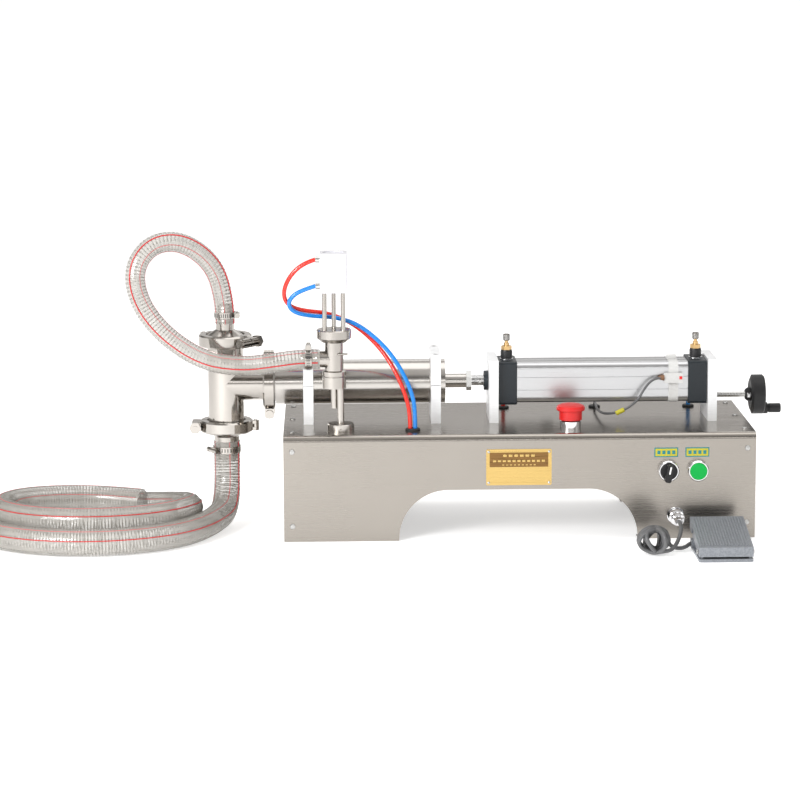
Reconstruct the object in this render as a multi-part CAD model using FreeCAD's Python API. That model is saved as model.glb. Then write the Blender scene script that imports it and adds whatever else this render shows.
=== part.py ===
import FreeCAD, Part
import math
import os
from FreeCAD import Vector

os.makedirs("parts", exist_ok=True)

# A bench-top piston liquid filler, in millimetres. It is laid out from a working datum at the
# middle of the base's front edge on the bench: +X towards the handwheel, +Y towards the back,
# +Z up. save() moves every piece to the stored frame, whose origin is at the middle of the
# bounding box, on the bench, without the hoses and cables.

# ---------------------------------------------------------------- sheet-metal base
base_length = 660.0
base_depth = 260.0
base_height = 150.0
sheet = 2.0
base_bend = 9.0  # outer radius of the long top bends
arch_left = -169.0
arch_right = 165.0
arch_height = 72.0
arch_corner = 69.0
foot_flange = 16.0  # inward flange at the bottom of each skirt
panel_flange = 24.0  # flanges of the two end panels
screw_inset = 12.0  # panel screws, from the ends of the shell
plate_top = base_height
base_end = base_length / 2

# ---------------------------------------------------------------- fits and fasteners
running = 0.05  # radial clearance of shafts and pistons
touch_gap = 0.3  # between soft or curved faces on different bodies
screw_hole_gap = 0.25
m4 = 2.0  # screw radii
m5 = 2.5
m6 = 3.0

# ---------------------------------------------------------------- line of the two cylinders
line_y = 130.0
line_z = 204.5
stroke = 180.0

tube_radius = 31.5
tube_wall = 3.0
tube_tail = -100.0
tube_bore = tube_radius - tube_wall
front_wall = 5.0

piston_length = 29.0
piston_rear = -121.0
seal_width = 5.0
seal_depth = 3.5
rod_radius = 10.0
spigot_radius = 8.0
piston_nut_flats = 24.0
piston_nut_length = 9.0
coupling_flats = 25.0
coupling_length = 7.2
thread_radius = 7.0
thread_reach = 14.0  # thread inside the product rod
coupling_rear = -62.0
coupling_front = coupling_rear - coupling_length
thread_start = coupling_front - thread_reach
cross_pin_radius = 2.0
cross_pin_x = -50.0
cross_pin_half = 10.0

# ---------------------------------------------------------------- tee and clamped joints
tee_x = -413.0
branch_radius = 25.5
branch_wall = 1.7
tee_reach = 62.0  # from the tee's centre to each joint plane
side_joint_x = tee_x + tee_reach
gasket = 2.0
ferrule_radius = 32.0
ferrule_lip = 2.4
ferrule_cone = 3.0
clamp_radius = 38.0
clamp_width = 17.0
clamp_gap = 1.5
ear_reach = 50.0
ear_thickness = 15.0
bolt_offset = 44.0
hinge_offset = 41.5
swing_bolt = 3.2
clamp_nut_flats = 15.0
ball_radius = 15.0
seat_radius = 12.0
seat_rim = 2.0  # height of the rim that the ball rests on
ball_lift = 6.0

# ---------------------------------------------------------------- hoses, barbs and clips
transfer_hose_diameter = 28.0
suction_hose_diameter = 38.0
hose_wall = 3.0
barb_depth = 26.0  # how far a hose is pushed over its barb
upper_neck = 24.0  # smooth stretch between each joint and its barb
lower_neck = 22.0
branch_neck = 20.0
branch_reach = 48.0
band_width = 9.0
band_wall = 1.0
clip_inset = 12.0  # from a hose's end to the middle of its clip
coil_x = -598.0
coil_y = 52.0
coil_half_x = 187.0
coil_half_y = 150.0
coil_hole_x = 72.0
coil_hole_y = 42.0
coil_height = 62.0
coil_edge = 17.0

# ---------------------------------------------------------------- tube clamp and cylinder brackets
clamp_bracket_thickness = 14.0
front_clamp_x = -295.0
rear_clamp_x = -114.0
clamp_bracket_top = line_z + tube_radius + 13.0
split_gap = 1.0
clamp_screw_offset = tube_radius + 5.5
bracket_depth = 2 * clamp_screw_offset + 10.0
bracket_thickness = 13.0
cylinder_bracket_top = 239.0
bracket_screw_offset = 26.0

# ---------------------------------------------------------------- air cylinder
cap_front = -25.0
cap_length = 27.0
barrel_length = 244.0
cap_side = 62.0
barrel_side = 58.0
barrel_corner = 9.0
groove_offset = 9.0  # sensor grooves along each face of the barrel
groove_half = 1.2
groove_depth = 1.6
air_bore = 25.0
nose_radius = 14.0
nose_length = 19.0
air_piston_length = 20.0
cap_screw_square = 23.0
port_radius = 6.0
port_depth = 8.0
barrel_front = cap_front + cap_length
barrel_rear = barrel_front + barrel_length
cap_rear = barrel_rear + cap_length
cap_top = line_z + cap_side / 2

# ---------------------------------------------------------------- volume adjuster
screw_radius = 4.0
screw_y = line_y + cap_side / 2 + screw_radius + 0.5
screw_z = line_z - 30.0
wheel_front = base_end + 15.0
wheel_radius = 28.5
wheel_thickness = 19.0
grip_offset = 20.5
grip_radius = 6.8
grip_length = 19.0
grip_boss = 6.0
grip_axle = 3.0
carriage_x = 50.0

# ---------------------------------------------------------------- filling nozzle
nozzle_x = -258.0
nozzle_y = 50.0
nozzle_base = 210.0
nozzle_waist = 235.0
nozzle_top = 275.0
nozzle_radius = 13.0
nozzle_foot_radius = 16.5
outlet_radius = 5.0
outlet_bore = 3.5
outlet_tip = 181.0
chamber_radius = 8.0
chamber_floor = 222.0
branch_z = 250.5
union_radius = 24.5
union_height = 18.0
standoff_pitch = 13.0
standoff_radius = 3.2
standoff_height = 53.0
spigot_depth = 8.0
lift_side = 38.0
lift_height = 55.0
stem_radius = 3.0
stem_tip_radius = 6.0
lift_bore = 14.0
lift_floor = 4.0  # wall below the lift piston
lift_piston_height = 10.0
stem_travel = 10.0
support_x = -249.5
support_y = 43.0
support_radius = 5.0
support_socket = 6.0  # how far the rod reaches into the nozzle's foot
flange_radius = 19.0
flange_height = 10.5
union_top = nozzle_top + union_height
lift_base = union_top + standoff_height
lift_top = lift_base + lift_height

# ---------------------------------------------------------------- operators, fittings and inside
estop_x = 73.5
estop_y = 40.0
estop_travel = 5.0
button_travel = 4.0
selector_x = 207.1
start_x = 248.6
operator_z = 97.3
bezel_radius = 14.8
bezel_height = 10.0
operator_barrel = 11.0
operator_stem = 4.0
socket_x = 218.0
socket_z = 33.0
tube_radius_air = 3.0
port_tube_y = 205.0
port_tube_x = (cap_front + cap_length / 2, barrel_rear + cap_length / 2)
grommet_x = -148.5
grommet_y = 38.0
cable_grommet_x = 122.0
inlet_x = 250.0
gland_x = 185.0
rear_z = 100.0

# ---------------------------------------------------------------- foot switch
foot_x = 270.0
foot_width = 74.0
foot_front = -147.0
foot_back = -42.0
pedal_low = 20.0
pedal_high = 40.0
pedal_wall = 2.5
foot_floor = 4.0
pedal_hinge_y = -135.0
pedal_hinge_z = 12.0
foot_pin_radius = 2.0
foot_cable_diameter = 5.5

# ---------------------------------------------------------------- stored frame
left_end = tee_x - bolt_offset - clamp_nut_flats / math.sqrt(3)
right_end = wheel_front + wheel_thickness + grip_boss + grip_length
rear_end = base_depth + 24.0
datum_x = -(left_end + right_end) / 2
datum_y = -(foot_front + rear_end) / 2


# ================================================================ helpers
def at(x, y, z):
    return Vector(x, y, z)


def on_line(x):
    """A point on the axis of the two cylinders."""
    return at(x, line_y, line_z)


def on_screw(x):
    """A point on the axis of the lead screw."""
    return at(x, screw_y, screw_z)


def box(x, y, z):
    """A block between two values along each axis."""
    return Part.makeBox(x[1] - x[0], y[1] - y[0], z[1] - z[0], at(x[0], y[0], z[0]))


def rod(radius, start, end):
    return Part.makeCylinder(radius, (end - start).Length, start, end - start)


def pipe(outer, inner, start, end):
    return rod(outer, start, end).cut(rod(inner, start, end))


def aligned(shape, start, direction):
    """Moves a shape that stands on +Z at the origin."""
    shape.Placement = FreeCAD.Placement(start, FreeCAD.Rotation(at(0, 0, 1), direction))
    return shape


def turned(profile, start, direction):
    """A turned piece: profile lists (radius, distance along the axis)."""
    points = [at(r, 0, d) for r, d in profile]
    face = Part.Face(Part.makePolygon(points + points[:1]))
    return aligned(face.revolve(at(0, 0, 0), at(0, 0, 1), 360), start, direction)


def hexagon(flats, start, end):
    corner = flats / math.sqrt(3)
    ring = [at(corner * math.cos(math.radians(a)), corner * math.sin(math.radians(a)), 0)
            for a in range(0, 360, 60)]
    prism = Part.Face(Part.makePolygon(ring + ring[:1])).extrude(at(0, 0, (end - start).Length))
    return aligned(prism, start, end - start)


def outline(points, axis, span):
    """A plate with the given outline, pushed along an axis. Along x, points are (y, z)."""
    place = {"x": lambda a, b: at(span[0], a, b), "y": lambda a, b: at(a, span[0], b)}[axis]
    push = {"x": at(span[1] - span[0], 0, 0), "y": at(0, span[1] - span[0], 0)}[axis]
    corners = [place(a, b) for a, b in points]
    return Part.Face(Part.makePolygon(corners + corners[:1])).extrude(push)


def rounded(shape, radius, direction):
    """Rounds the straight edges that run along a direction."""
    edges = [e for e in shape.Edges
             if isinstance(e.Curve, Part.Line) and abs(e.Curve.Direction.dot(direction)) > 0.99]
    return shape.makeFillet(radius, edges)


def joined(first, *others):
    return first.multiFuse(list(others)).removeSplitter()


def without(shape, *tools):
    return shape.cut(Part.makeCompound(list(tools)))


def save(name, *pieces):
    """Writes one node, made of one solid or of a group of separate solids."""
    solids = [s for piece in pieces for s in piece.Solids]
    shape = solids[0] if len(solids) == 1 else Part.makeCompound(solids)
    shape = shape.copy()
    shape.translate(at(datum_x, datum_y, 0))
    shape.exportStep("parts/" + name + ".step")


def cord_path(points, label):
    """Straight runs joined by tangent arcs, each as large as its two runs allow."""
    corners = [at(*p) for p in points]
    edges, radii, last = [], [], corners[0]
    for before, corner, after in zip(corners, corners[1:], corners[2:]):
        shorter = min((corner - before).Length, (after - corner).Length)
        arriving = (corner - before).normalize()
        leaving = (after - corner).normalize()
        turn = arriving.getAngle(leaving)
        trim = 0.45 * shorter
        radius = trim / math.tan(turn / 2)
        inward = (leaving - arriving).normalize()
        start, end = corner - arriving * trim, corner + leaving * trim
        middle = corner + inward * (radius / math.cos(turn / 2) - radius)
        edges.append(Part.LineSegment(last, start).toShape())
        edges.append(Part.Arc(start, middle, end).toShape())
        radii.append(round(radius, 1))
        last = end
    edges.append(Part.LineSegment(last, corners[-1]).toShape())
    print(label, "arc radii", radii)
    return Part.Wire(edges)


def cord(points, diameter, label):
    path = cord_path(points, label)
    start = at(*points[0])
    circle = Part.makeCircle(diameter / 2, start, at(*points[1]) - start)
    tube = path.makePipeShell([Part.Wire(circle)], True, False)
    ideal = math.pi * diameter**2 / 4 * path.Length
    print(label, "length", round(path.Length, 1), "volume ratio", round(tube.Volume / ideal, 4))
    return tube


# ================================================================ base
def shell_block(inset, bottom):
    """The base's bent outline as a solid, drawn in by inset."""
    block = box((-base_end, base_end), (inset, base_depth - inset), (bottom, base_height - inset))
    top = [e for e in block.Edges
           if abs(e.Curve.Direction.x) > 0.99 and e.BoundBox.ZMin > base_height - inset - 1]
    return block.makeFillet(base_bend - inset, top)


def top_screws():
    """Places of the screws that hold the end panels to the top plate."""
    inset, step = 30.0, (base_depth - 60.0) / 2
    return [(side * (base_end - screw_inset), inset + i * step)
            for side in (-1, 1) for i in range(3)]


def skirt_screws():
    return [(side * (base_end - screw_inset), z) for side in (-1, 1) for z in (22.0, 128.0)]


def bracket_screw_places():
    xs = (front_clamp_x, rear_clamp_x, cap_front - bracket_thickness / 2,
          cap_rear + bracket_thickness / 2)
    return [(x, line_y + side * bracket_screw_offset) for x in xs for side in (-1, 1)]


def base_shell():
    shell = shell_block(0, 0).cut(shell_block(sheet, -1))
    for y in (sheet, base_depth - sheet - foot_flange):
        flange = box((-base_end, base_end), (y, y + foot_flange), (0, sheet))
        shell = shell.fuse(flange)
    arch = box((arch_left, arch_right), (-5, base_depth + 5), (-10, arch_height))
    tops = [e for e in arch.Edges
            if abs(e.Curve.Direction.y) > 0.99 and e.BoundBox.ZMin > arch_height - 1]
    shell = shell.cut(arch.makeFillet(arch_corner, tops)).removeSplitter()
    drilled = [rod(m4 + screw_hole_gap, at(x, y, plate_top - 5), at(x, y, plate_top + 5))
               for x, y in top_screws()]
    for x, z in skirt_screws():
        for y in (0, base_depth):
            drilled.append(rod(m4 + screw_hole_gap, at(x, y - 5, z), at(x, y + 5, z)))
    for x, y in bracket_screw_places():
        drilled.append(rod(m5 + screw_hole_gap, at(x, y, plate_top - 5), at(x, y, plate_top + 5)))
    for x, y, r in ((estop_x, estop_y, operator_barrel + screw_hole_gap),
                    (grommet_x, grommet_y, 8.0), (cable_grommet_x, port_tube_y, 6.0),
                    (port_tube_x[0], port_tube_y, 6.0), (port_tube_x[1], port_tube_y, 6.0),
                    (support_x, support_y, m6 + screw_hole_gap)):
        drilled.append(rod(r, at(x, y, plate_top - 5), at(x, y, plate_top + 5)))
    for x in (selector_x, start_x):
        drilled.append(rod(operator_barrel + screw_hole_gap, at(x, -5, operator_z), at(x, 5, operator_z)))
    drilled.append(rod(8.0 + screw_hole_gap, at(socket_x, -5, socket_z), at(socket_x, 5, socket_z)))
    for x, r in ((inlet_x, 6.5), (gland_x, 8.0)):
        drilled.append(rod(r + screw_hole_gap, at(x, base_depth - 5, rear_z), at(x, base_depth + 5, rear_z)))
    return without(shell, *drilled)


def end_panel(side):
    """A flanged plate that closes one end of the shell."""
    outer = sorted((side * base_end, side * (base_end - panel_flange)))
    inner = sorted((side * (base_end - sheet), side * (base_end - panel_flange - 1)))
    panel = shell_block(sheet, sheet).common(box(outer, (0, base_depth), (0, base_height)))
    panel = panel.cut(shell_block(2 * sheet, -1).common(box(inner, (0, base_depth), (-1, base_height))))
    hole = m4 + screw_hole_gap
    holes = [rod(hole, at(x, y, plate_top - 8), at(x, y, plate_top)) for x, y in top_screws()]
    for x, z in skirt_screws():
        holes.append(rod(hole, at(x, 0, z), at(x, 8, z)))
        holes.append(rod(hole, at(x, base_depth - 8, z), at(x, base_depth, z)))
    return without(panel, *holes)


def pan_screw(radius, length, start, inward):
    """A pan-head screw whose head stands outside the face it passes through."""
    head = 1.9 * radius
    profile = [(0, -length), (radius, -length), (radius, 0), (head, 0), (head, 0.5 * radius),
               (0.8 * head, 0.9 * radius), (0, 1.05 * radius)]
    screw = turned(profile, start, -inward)
    slot = aligned(Part.makeBox(0.4 * radius, 2.4 * radius, radius, at(-0.2 * radius, -1.2 * radius,
                   0.55 * radius)), start, -inward)
    return screw.cut(slot)


def cap_screw(radius, length, seat, inward):
    """A socket-head cap screw: seat is the middle of the face under its head."""
    head = 1.7 * radius
    profile = [(0, -length), (radius, -length), (radius, 0), (head, 0), (head, 2 * radius), (0, 2 * radius)]
    socket = hexagon(1.7 * radius, at(0, 0, radius), at(0, 0, 2 * radius + 1))
    return turned(profile, seat, -inward).cut(aligned(socket.copy(), seat - inward * radius, -inward))


def machine_screws():
    screws = [pan_screw(m4, 7, at(x, y, plate_top), at(0, 0, -1)) for x, y in top_screws()]
    for x, z in skirt_screws():
        screws.append(pan_screw(m4, 7, at(x, 0, z), at(0, 1, 0)))
        screws.append(pan_screw(m4, 7, at(x, base_depth, z), at(0, -1, 0)))
    for x, y in bracket_screw_places():
        screws.append(cap_screw(m5, 18, at(x, y, plate_top - sheet), at(0, 0, 1)))
    screws.append(cap_screw(m6, 10, at(support_x, support_y, plate_top - sheet), at(0, 0, 1)))
    for x in (front_clamp_x, rear_clamp_x):
        for side in (-1, 1):
            seat = at(x, line_y + side * clamp_screw_offset, clamp_bracket_top - 5.2)
            screws.append(cap_screw(m5, 56, seat, at(0, 0, -1)))
    for x, way in ((cap_front - bracket_thickness, 1), (cap_rear + bracket_thickness, -1)):
        for y, z in cap_screw_places():
            screws.append(cap_screw(m6, 20, at(x + way * 6.2, y, z), at(way, 0, 0)))
    return screws


def nameplate():
    plate = box((-47.4, 43.9), (-1.0, 0), (78.3, 129.3))
    plate = rounded(plate, 2.0, at(0, 1, 0))
    border = rounded(box((-44.4, 40.9), (-1.4, -1.0), (81.3, 126.3)), 1.5, at(0, 1, 0))
    field = rounded(box((-43.4, 39.9), (-2, 0), (82.3, 125.3)), 1.0, at(0, 1, 0))
    return plate.fuse(border.cut(field)).removeSplitter()


# ================================================================ brackets
def clamp_block(x, low, high):
    half = clamp_bracket_thickness / 2
    block = box((x - half, x + half), (line_y - bracket_depth / 2, line_y + bracket_depth / 2), (low, high))
    bore = rod(tube_radius + running, on_line(x - 20), on_line(x + 20))
    tools = [bore]
    for side in (-1, 1):
        y = line_y + side * clamp_screw_offset
        tools.append(rod(m5 + screw_hole_gap, at(x, y, line_z - 30), at(x, y, clamp_bracket_top + 1)))
        tools.append(rod(1.7 * m5 + 0.3, at(x, y, clamp_bracket_top - 5.2), at(x, y, clamp_bracket_top + 1)))
        foot = line_y + side * bracket_screw_offset
        tools.append(rod(m5, at(x, foot, plate_top - 1), at(x, foot, plate_top - sheet + 18)))
    return without(block, *tools)


def tube_clamp_base(x):
    return clamp_block(x, plate_top, line_z - split_gap / 2)


def tube_clamp_cap(x):
    return clamp_block(x, line_z + split_gap / 2, clamp_bracket_top)


def cap_screw_places():
    return [(line_y + a * cap_screw_square, line_z + b * cap_screw_square)
            for a in (-1, 1) for b in (-1, 1)]


def cylinder_bracket(start, way):
    """A solid plate against one cap; way points from the plate into the cap."""
    ends = sorted((start, start + way * bracket_thickness))
    plate = box(ends, (line_y - bracket_depth / 2, line_y + bracket_depth / 2),
                (plate_top, cylinder_bracket_top))
    tools = [rod(screw_radius + running, on_screw(ends[0] - 1), on_screw(ends[1] + 1))]
    for y, z in cap_screw_places():
        tools.append(rod(m6 + screw_hole_gap, at(ends[0] - 1, y, z), at(ends[1] + 1, y, z)))
        tools.append(rod(1.7 * m6 + 0.3, at(start - way, y, z), at(start + way * 6.2, y, z)))
    if way > 0:
        tools.append(rod(nose_radius + 0.3, on_line(ends[0] - 1), on_line(ends[1] + 1)))
    middle = (ends[0] + ends[1]) / 2
    for side in (-1, 1):
        foot = line_y + side * bracket_screw_offset
        tools.append(rod(m5, at(middle, foot, plate_top - 1), at(middle, foot, plate_top - sheet + 18)))
    return without(plate, *tools)


# ================================================================ product cylinder and piston
def ferrule(bore, root):
    """Half of a clamped joint: it starts at the gasket and runs away from it."""
    lip = gasket / 2 + ferrule_lip
    return [(bore, gasket / 2), (ferrule_radius, gasket / 2), (ferrule_radius, lip),
            (root + 1.5, lip + ferrule_cone), (root, lip + ferrule_cone + 1), (bore, lip + ferrule_cone + 1)]


def product_cylinder():
    """A ferrule, a short neck inside the clamp, the front wall and the open-ended tube."""
    inner = branch_radius - branch_wall
    neck = clamp_width / 2 + 1.0
    tail = tube_tail - side_joint_x
    profile = ferrule(inner, branch_radius)[:-1]
    profile += [(branch_radius, neck), (tube_radius, neck), (tube_radius, tail), (tube_bore, tail),
                (tube_bore, neck + front_wall), (inner, neck + front_wall)]
    return turned(profile, on_line(side_joint_x), at(1, 0, 0))


def seal_grooves():
    return [piston_rear - 6.0 - seal_width, piston_rear - piston_length + 6.0]


def product_piston():
    start = piston_rear - piston_length
    body = pipe(tube_bore - touch_gap, spigot_radius, on_line(start), on_line(piston_rear))
    body = body.makeChamfer(1.0, [e for e in body.Edges if e.BoundBox.YLength > 2 * tube_bore - 2])
    grooves = [pipe(tube_bore + 1, tube_bore - seal_depth, on_line(x), on_line(x + seal_width))
               for x in seal_grooves()]
    return without(body, *grooves)


def piston_seals():
    return [pipe(tube_bore - running, tube_bore - seal_depth, on_line(x),
                 on_line(x + seal_width)) for x in seal_grooves()]


def piston_rod():
    front = piston_rear - piston_length - piston_nut_length
    spigot = rod(spigot_radius, on_line(front), on_line(piston_rear))
    shaft = rod(rod_radius, on_line(piston_rear), on_line(coupling_front))
    thread = rod(thread_radius, on_line(coupling_front - thread_reach),
                 on_line(coupling_front + 1))
    return spigot.fuse(shaft).removeSplitter().cut(thread)


def rod_nuts():
    """The coupling nut, the cross pin through the thread and the nut that holds the piston."""
    coupling = hexagon(coupling_flats, on_line(coupling_front), on_line(coupling_rear))
    coupling = coupling.cut(rod(thread_radius, on_line(coupling_front - 1),
                                on_line(coupling_rear + 1)))
    pin = rod(cross_pin_radius, at(cross_pin_x, line_y - cross_pin_half, line_z),
              at(cross_pin_x, line_y + cross_pin_half, line_z))
    rear = piston_rear - piston_length
    nut = hexagon(piston_nut_flats, on_line(rear - piston_nut_length), on_line(rear))
    nut = nut.cut(rod(spigot_radius, on_line(rear - piston_nut_length - 1),
                      on_line(rear + 1)))
    return [coupling, pin, nut]


# ================================================================ tee, valves and clamps
def tee_body():
    centre = on_line(tee_x)
    inner = branch_radius - branch_wall
    end = tee_reach - gasket / 2
    body = rod(branch_radius, centre - at(0, 0, end), centre + at(0, 0, end))
    body = body.fuse(rod(branch_radius, centre, centre + at(end, 0, 0)))
    for way in (at(0, 0, 1), at(0, 0, -1), at(1, 0, 0)):
        body = body.fuse(turned(ferrule(inner, branch_radius), centre + way * tee_reach, way * -1))
    hollow = rod(inner, centre - at(0, 0, tee_reach), centre + at(0, 0, tee_reach))
    hollow = hollow.fuse(rod(inner, centre, centre + at(tee_reach, 0, 0)))
    return body.cut(hollow).removeSplitter()


def joints_of_tee():
    """Middle and outward direction of the tee's three clamped joints."""
    centre = on_line(tee_x)
    return [(centre + way * tee_reach, way) for way in (at(0, 0, -1), at(1, 0, 0), at(0, 0, 1))]


def tee_gaskets():
    inner = branch_radius - branch_wall
    return [pipe(ferrule_radius - 2, inner, middle - way * (gasket / 2), middle + way * (gasket / 2))
            for middle, way in joints_of_tee()]


def clamp_pieces():
    """One two-piece clamp about +Z: halves, swing bolt, its nut and the hinge pin."""
    lip = gasket / 2 + ferrule_lip + 0.2
    inner = branch_radius + 2.2
    half = clamp_width / 2
    bore = ferrule_radius + 0.2
    profile = [(clamp_radius, -half + 2), (clamp_radius, half - 2), (clamp_radius - 2, half),
               (inner, half), (inner, lip + ferrule_cone), (bore, lip), (bore, -lip),
               (inner, -lip - ferrule_cone), (inner, -half), (clamp_radius - 2, -half)]
    ring = turned(profile, at(0, 0, 0), at(0, 0, 1))
    halves = []
    for side in (-1, 1):
        near, far = clamp_gap / 2, 60.0
        piece = ring.common(box((-60, 60), sorted((side * near, side * far)), (-20, 20)))
        ear = box((-ear_reach, 2 - clamp_radius), sorted((side * near, side * ear_thickness)), (-6.5, 6.5))
        ear = rounded(ear, 3.0, at(0, 1, 0))
        piece = piece.fuse(ear)
        knuckle = rod(5.0, at(hinge_offset, 0, -7), at(hinge_offset, 0, 7))
        arm = box((clamp_radius - 3, hinge_offset), sorted((side * near, side * 5.0)), (-7, 7))
        lug = knuckle.fuse(arm)
        middle = box((20, 60), (-20, 20), (-2.4, 2.4))
        gap = box((20, 60), (-20, 20), (-2.6, 2.6))
        lug = lug.common(middle) if side > 0 else lug.cut(gap)
        other = ring.common(box((-60, 60), sorted((-side * near, -side * far)), (-20, 20)))
        piece = piece.fuse(lug.cut(other)).removeSplitter()
        slot_half = swing_bolt + 0.3
        slot = box((-ear_reach - 1, slot_half - bolt_offset), (-20, 20), (-slot_half, slot_half))
        pin_hole = rod(2.1, at(hinge_offset, 0, -9), at(hinge_offset, 0, 9))
        clear = rod(5.6, at(hinge_offset, 0, -2.6), at(hinge_offset, 0, 2.6))
        holes = [slot, pin_hole] if side > 0 else [slot, pin_hole, clear]
        halves.append(without(piece, *holes))
    front = -ear_thickness
    bolt = rod(swing_bolt, at(-bolt_offset, front - 9, 0), at(-bolt_offset, ear_thickness + 1, 0))
    bolt = bolt.fuse(rod(6.0, at(-bolt_offset, ear_thickness, 0), at(-bolt_offset, ear_thickness + 4, 0)))
    nut = hexagon(clamp_nut_flats, at(-bolt_offset, front - 8, 0), at(-bolt_offset, front, 0))
    nut = nut.cut(rod(swing_bolt, at(-bolt_offset, front - 9, 0), at(-bolt_offset, front + 1, 0)))
    pin = rod(2.0, at(hinge_offset, 0, -8), at(hinge_offset, 0, 8))
    return halves, [bolt.removeSplitter(), nut, pin]


def clamp_turns():
    """How each clamp is turned about its joint: below, beside and above the tee."""
    upright = FreeCAD.Rotation(at(0, 0, 1), 0)
    beside = FreeCAD.Rotation(at(0, 1, 0), 90).multiply(FreeCAD.Rotation(at(0, 0, 1), 180))
    above = FreeCAD.Rotation(at(0, 0, 1), 140)
    return [upright, beside, above]


def tee_clamps():
    halves, bolts = [], []
    for (middle, way), turn in zip(joints_of_tee(), clamp_turns()):
        ring, fastening = clamp_pieces()
        for group, pieces in ((halves, ring), (bolts, fastening)):
            for piece in pieces:
                piece.Placement = FreeCAD.Placement(middle, turn)
                group.append(piece)
    return halves, bolts


def check_valve_cage(seat_z):
    """A ring seat with three fingers and a stop above the ball."""
    outer = branch_radius - branch_wall
    seat = turned([(seat_radius, 0), (outer, 0), (outer, 6), (seat_radius + 4, 6), (seat_radius, seat_rim)],
                  at(tee_x, line_y, seat_z), at(0, 0, 1))
    top = seat_z + ball_seat_height() + ball_radius + ball_lift + touch_gap
    cage = seat.fuse(pipe(outer, outer - 3, at(tee_x, line_y, top), at(tee_x, line_y, top + 4)))
    for i in range(3):
        a = math.radians(90 + 120 * i)
        finger = at(math.cos(a), math.sin(a), 0) * (outer - 2.2)
        foot, head = at(tee_x, line_y, seat_z + 1), at(tee_x, line_y, top + 2)
        cage = cage.fuse(rod(1.6, foot + finger, head + finger))
        cage = cage.fuse(rod(1.4, head, head + finger))
    return cage.removeSplitter()


def ball_seat_height():
    """Height of the ball's centre over the seat's underside."""
    return seat_rim + math.sqrt((ball_radius + touch_gap)**2 - seat_radius**2)


def inlet_seat_z():
    return line_z - tee_reach + gasket / 2


def outlet_seat_z():
    return line_z + 14.0


def check_ball(seat_z):
    return Part.makeSphere(ball_radius, at(tee_x, line_y, seat_z + ball_seat_height()))


# ================================================================ hoses and their fittings
def barb_profile(bore, root, length, start):
    """Barbed tail of a hose connector, from start to start + length."""
    points = [(bore, start), (root, start)]
    ridges = 4
    step = (length - 4) / ridges
    for i in range(ridges):
        d = start + 4 + i * step
        points += [(root, d), (root + 1.2, d), (root, d + 0.9 * step)]
    return points + [(root, start + length), (bore, start + length)]


def hose_barb(middle, way, hose_diameter, neck):
    """A ferrule that narrows to a barbed tail; neck is the smooth stretch before the tail."""
    root = hose_diameter / 2 - hose_wall - 1.2
    bore = root - 1.6
    inner = branch_radius - branch_wall
    body = ferrule(inner, branch_radius)
    cone = body[-2][1] + 8.0
    outer = hose_diameter / 2 - 1.0
    profile = body[:-1] + [(outer, cone), (outer, neck)]
    profile += barb_profile(bore, root, barb_depth + 1, neck)[1:]
    profile += [(bore, cone), (inner, body[-2][1] - 1)]
    return turned(profile, middle, way)


def hose_barbs():
    low, _, high = joints_of_tee()
    return [hose_barb(high[0], high[1], transfer_hose_diameter, upper_neck),
            hose_barb(low[0], low[1], suction_hose_diameter, lower_neck)]


def hose_clip(centre, way, hose_diameter, side):
    """A worm-drive clip: a band about the hose and a screw housing standing out along side."""
    outer = hose_diameter / 2 + running
    half = way * (band_width / 2)
    band = pipe(outer + band_wall, outer, centre - half, centre + half)
    tangent = side.cross(way).normalize()
    place = centre + side * (outer + band_wall + 3.2)
    screw = rod(3.2, place - tangent * 9, place + tangent * 9)
    head = hexagon(7.0, place + tangent * 9, place + tangent * 13)
    saddle = Part.makeBox(12, 12, band_width - 1, at(-6, -6.4, -(band_width - 1) / 2))
    turn = FreeCAD.Rotation(tangent, side, way, "XYZ")
    saddle.Placement = FreeCAD.Placement(place, turn)
    saddle = saddle.common(pipe(outer + 40, outer, centre - half, centre + half))
    saddle = saddle.common(rod(outer + band_wall + 4.6, centre - half, centre + half))
    return joined(band, saddle, screw, head)


transfer_route = [
    (tee_x, line_y, line_z + tee_reach + upper_neck),
    (tee_x, line_y, 322),
    (-427, 125, 376),
    (-470, 114, 411),
    (-514, 104, 409),
    (-540, 94, 374),
    (-532, 88, 326),
    (-497, 79, 281),
    (-442, 66, 246),
    (-385, 57, 239),
    (-337, 51, 246),
    (nozzle_x - branch_reach, nozzle_y, branch_z),
    (nozzle_x - branch_neck, nozzle_y, branch_z),
]

suction_route = [
    (tee_x, line_y, line_z - tee_reach - lower_neck),
    (tee_x, line_y, 79),
    (-413, 119, 48),
    (-416, 97, 28),
    (-422, 72, 22.5),
]

red_route = [
    (-283, 50, 391),
    (-300, 50, 386),
    (-320, 51, 367),
    (-329, 54, 343),
    (-322, 60, 325),
    (-301, 71, 316),
    (-264, 83, 311),
    (-226, 82, 293),
    (-192, 69, 262),
    (-169, 52, 227),
    (-155, 40, 190),
    (-152, 38, 166),
    (-152, 38, 150),
]

blue_route = [
    (-283, 50, 354),
    (-299, 50, 349),
    (-313, 50, 342),
    (-321, 52, 332),
    (-319, 55, 321),
    (-307, 61, 313),
    (-284, 71, 308),
    (-256, 76, 306),
    (-223, 74, 296),
    (-186, 62, 266),
    (-162, 49, 232),
    (-147, 41, 196),
    (-145, 38, 168),
    (-145, 38, 150),
]

reed_route = [
    (211, 95, 212),
    (203, 93.5, 212),
    (192, 90, 209),
    (182, 86, 198),
    (174, 84, 184),
    (163, 82, 174),
    (150, 82, 167),
    (139, 86, 163),
    (128, 98, 160),
    (123, 122, 158),
    (121, 156, 157),
    (122, 184, 158),
    (122, 198, 160),
    (122, 205, 157),
    (122, 205, 148),
]

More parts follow.
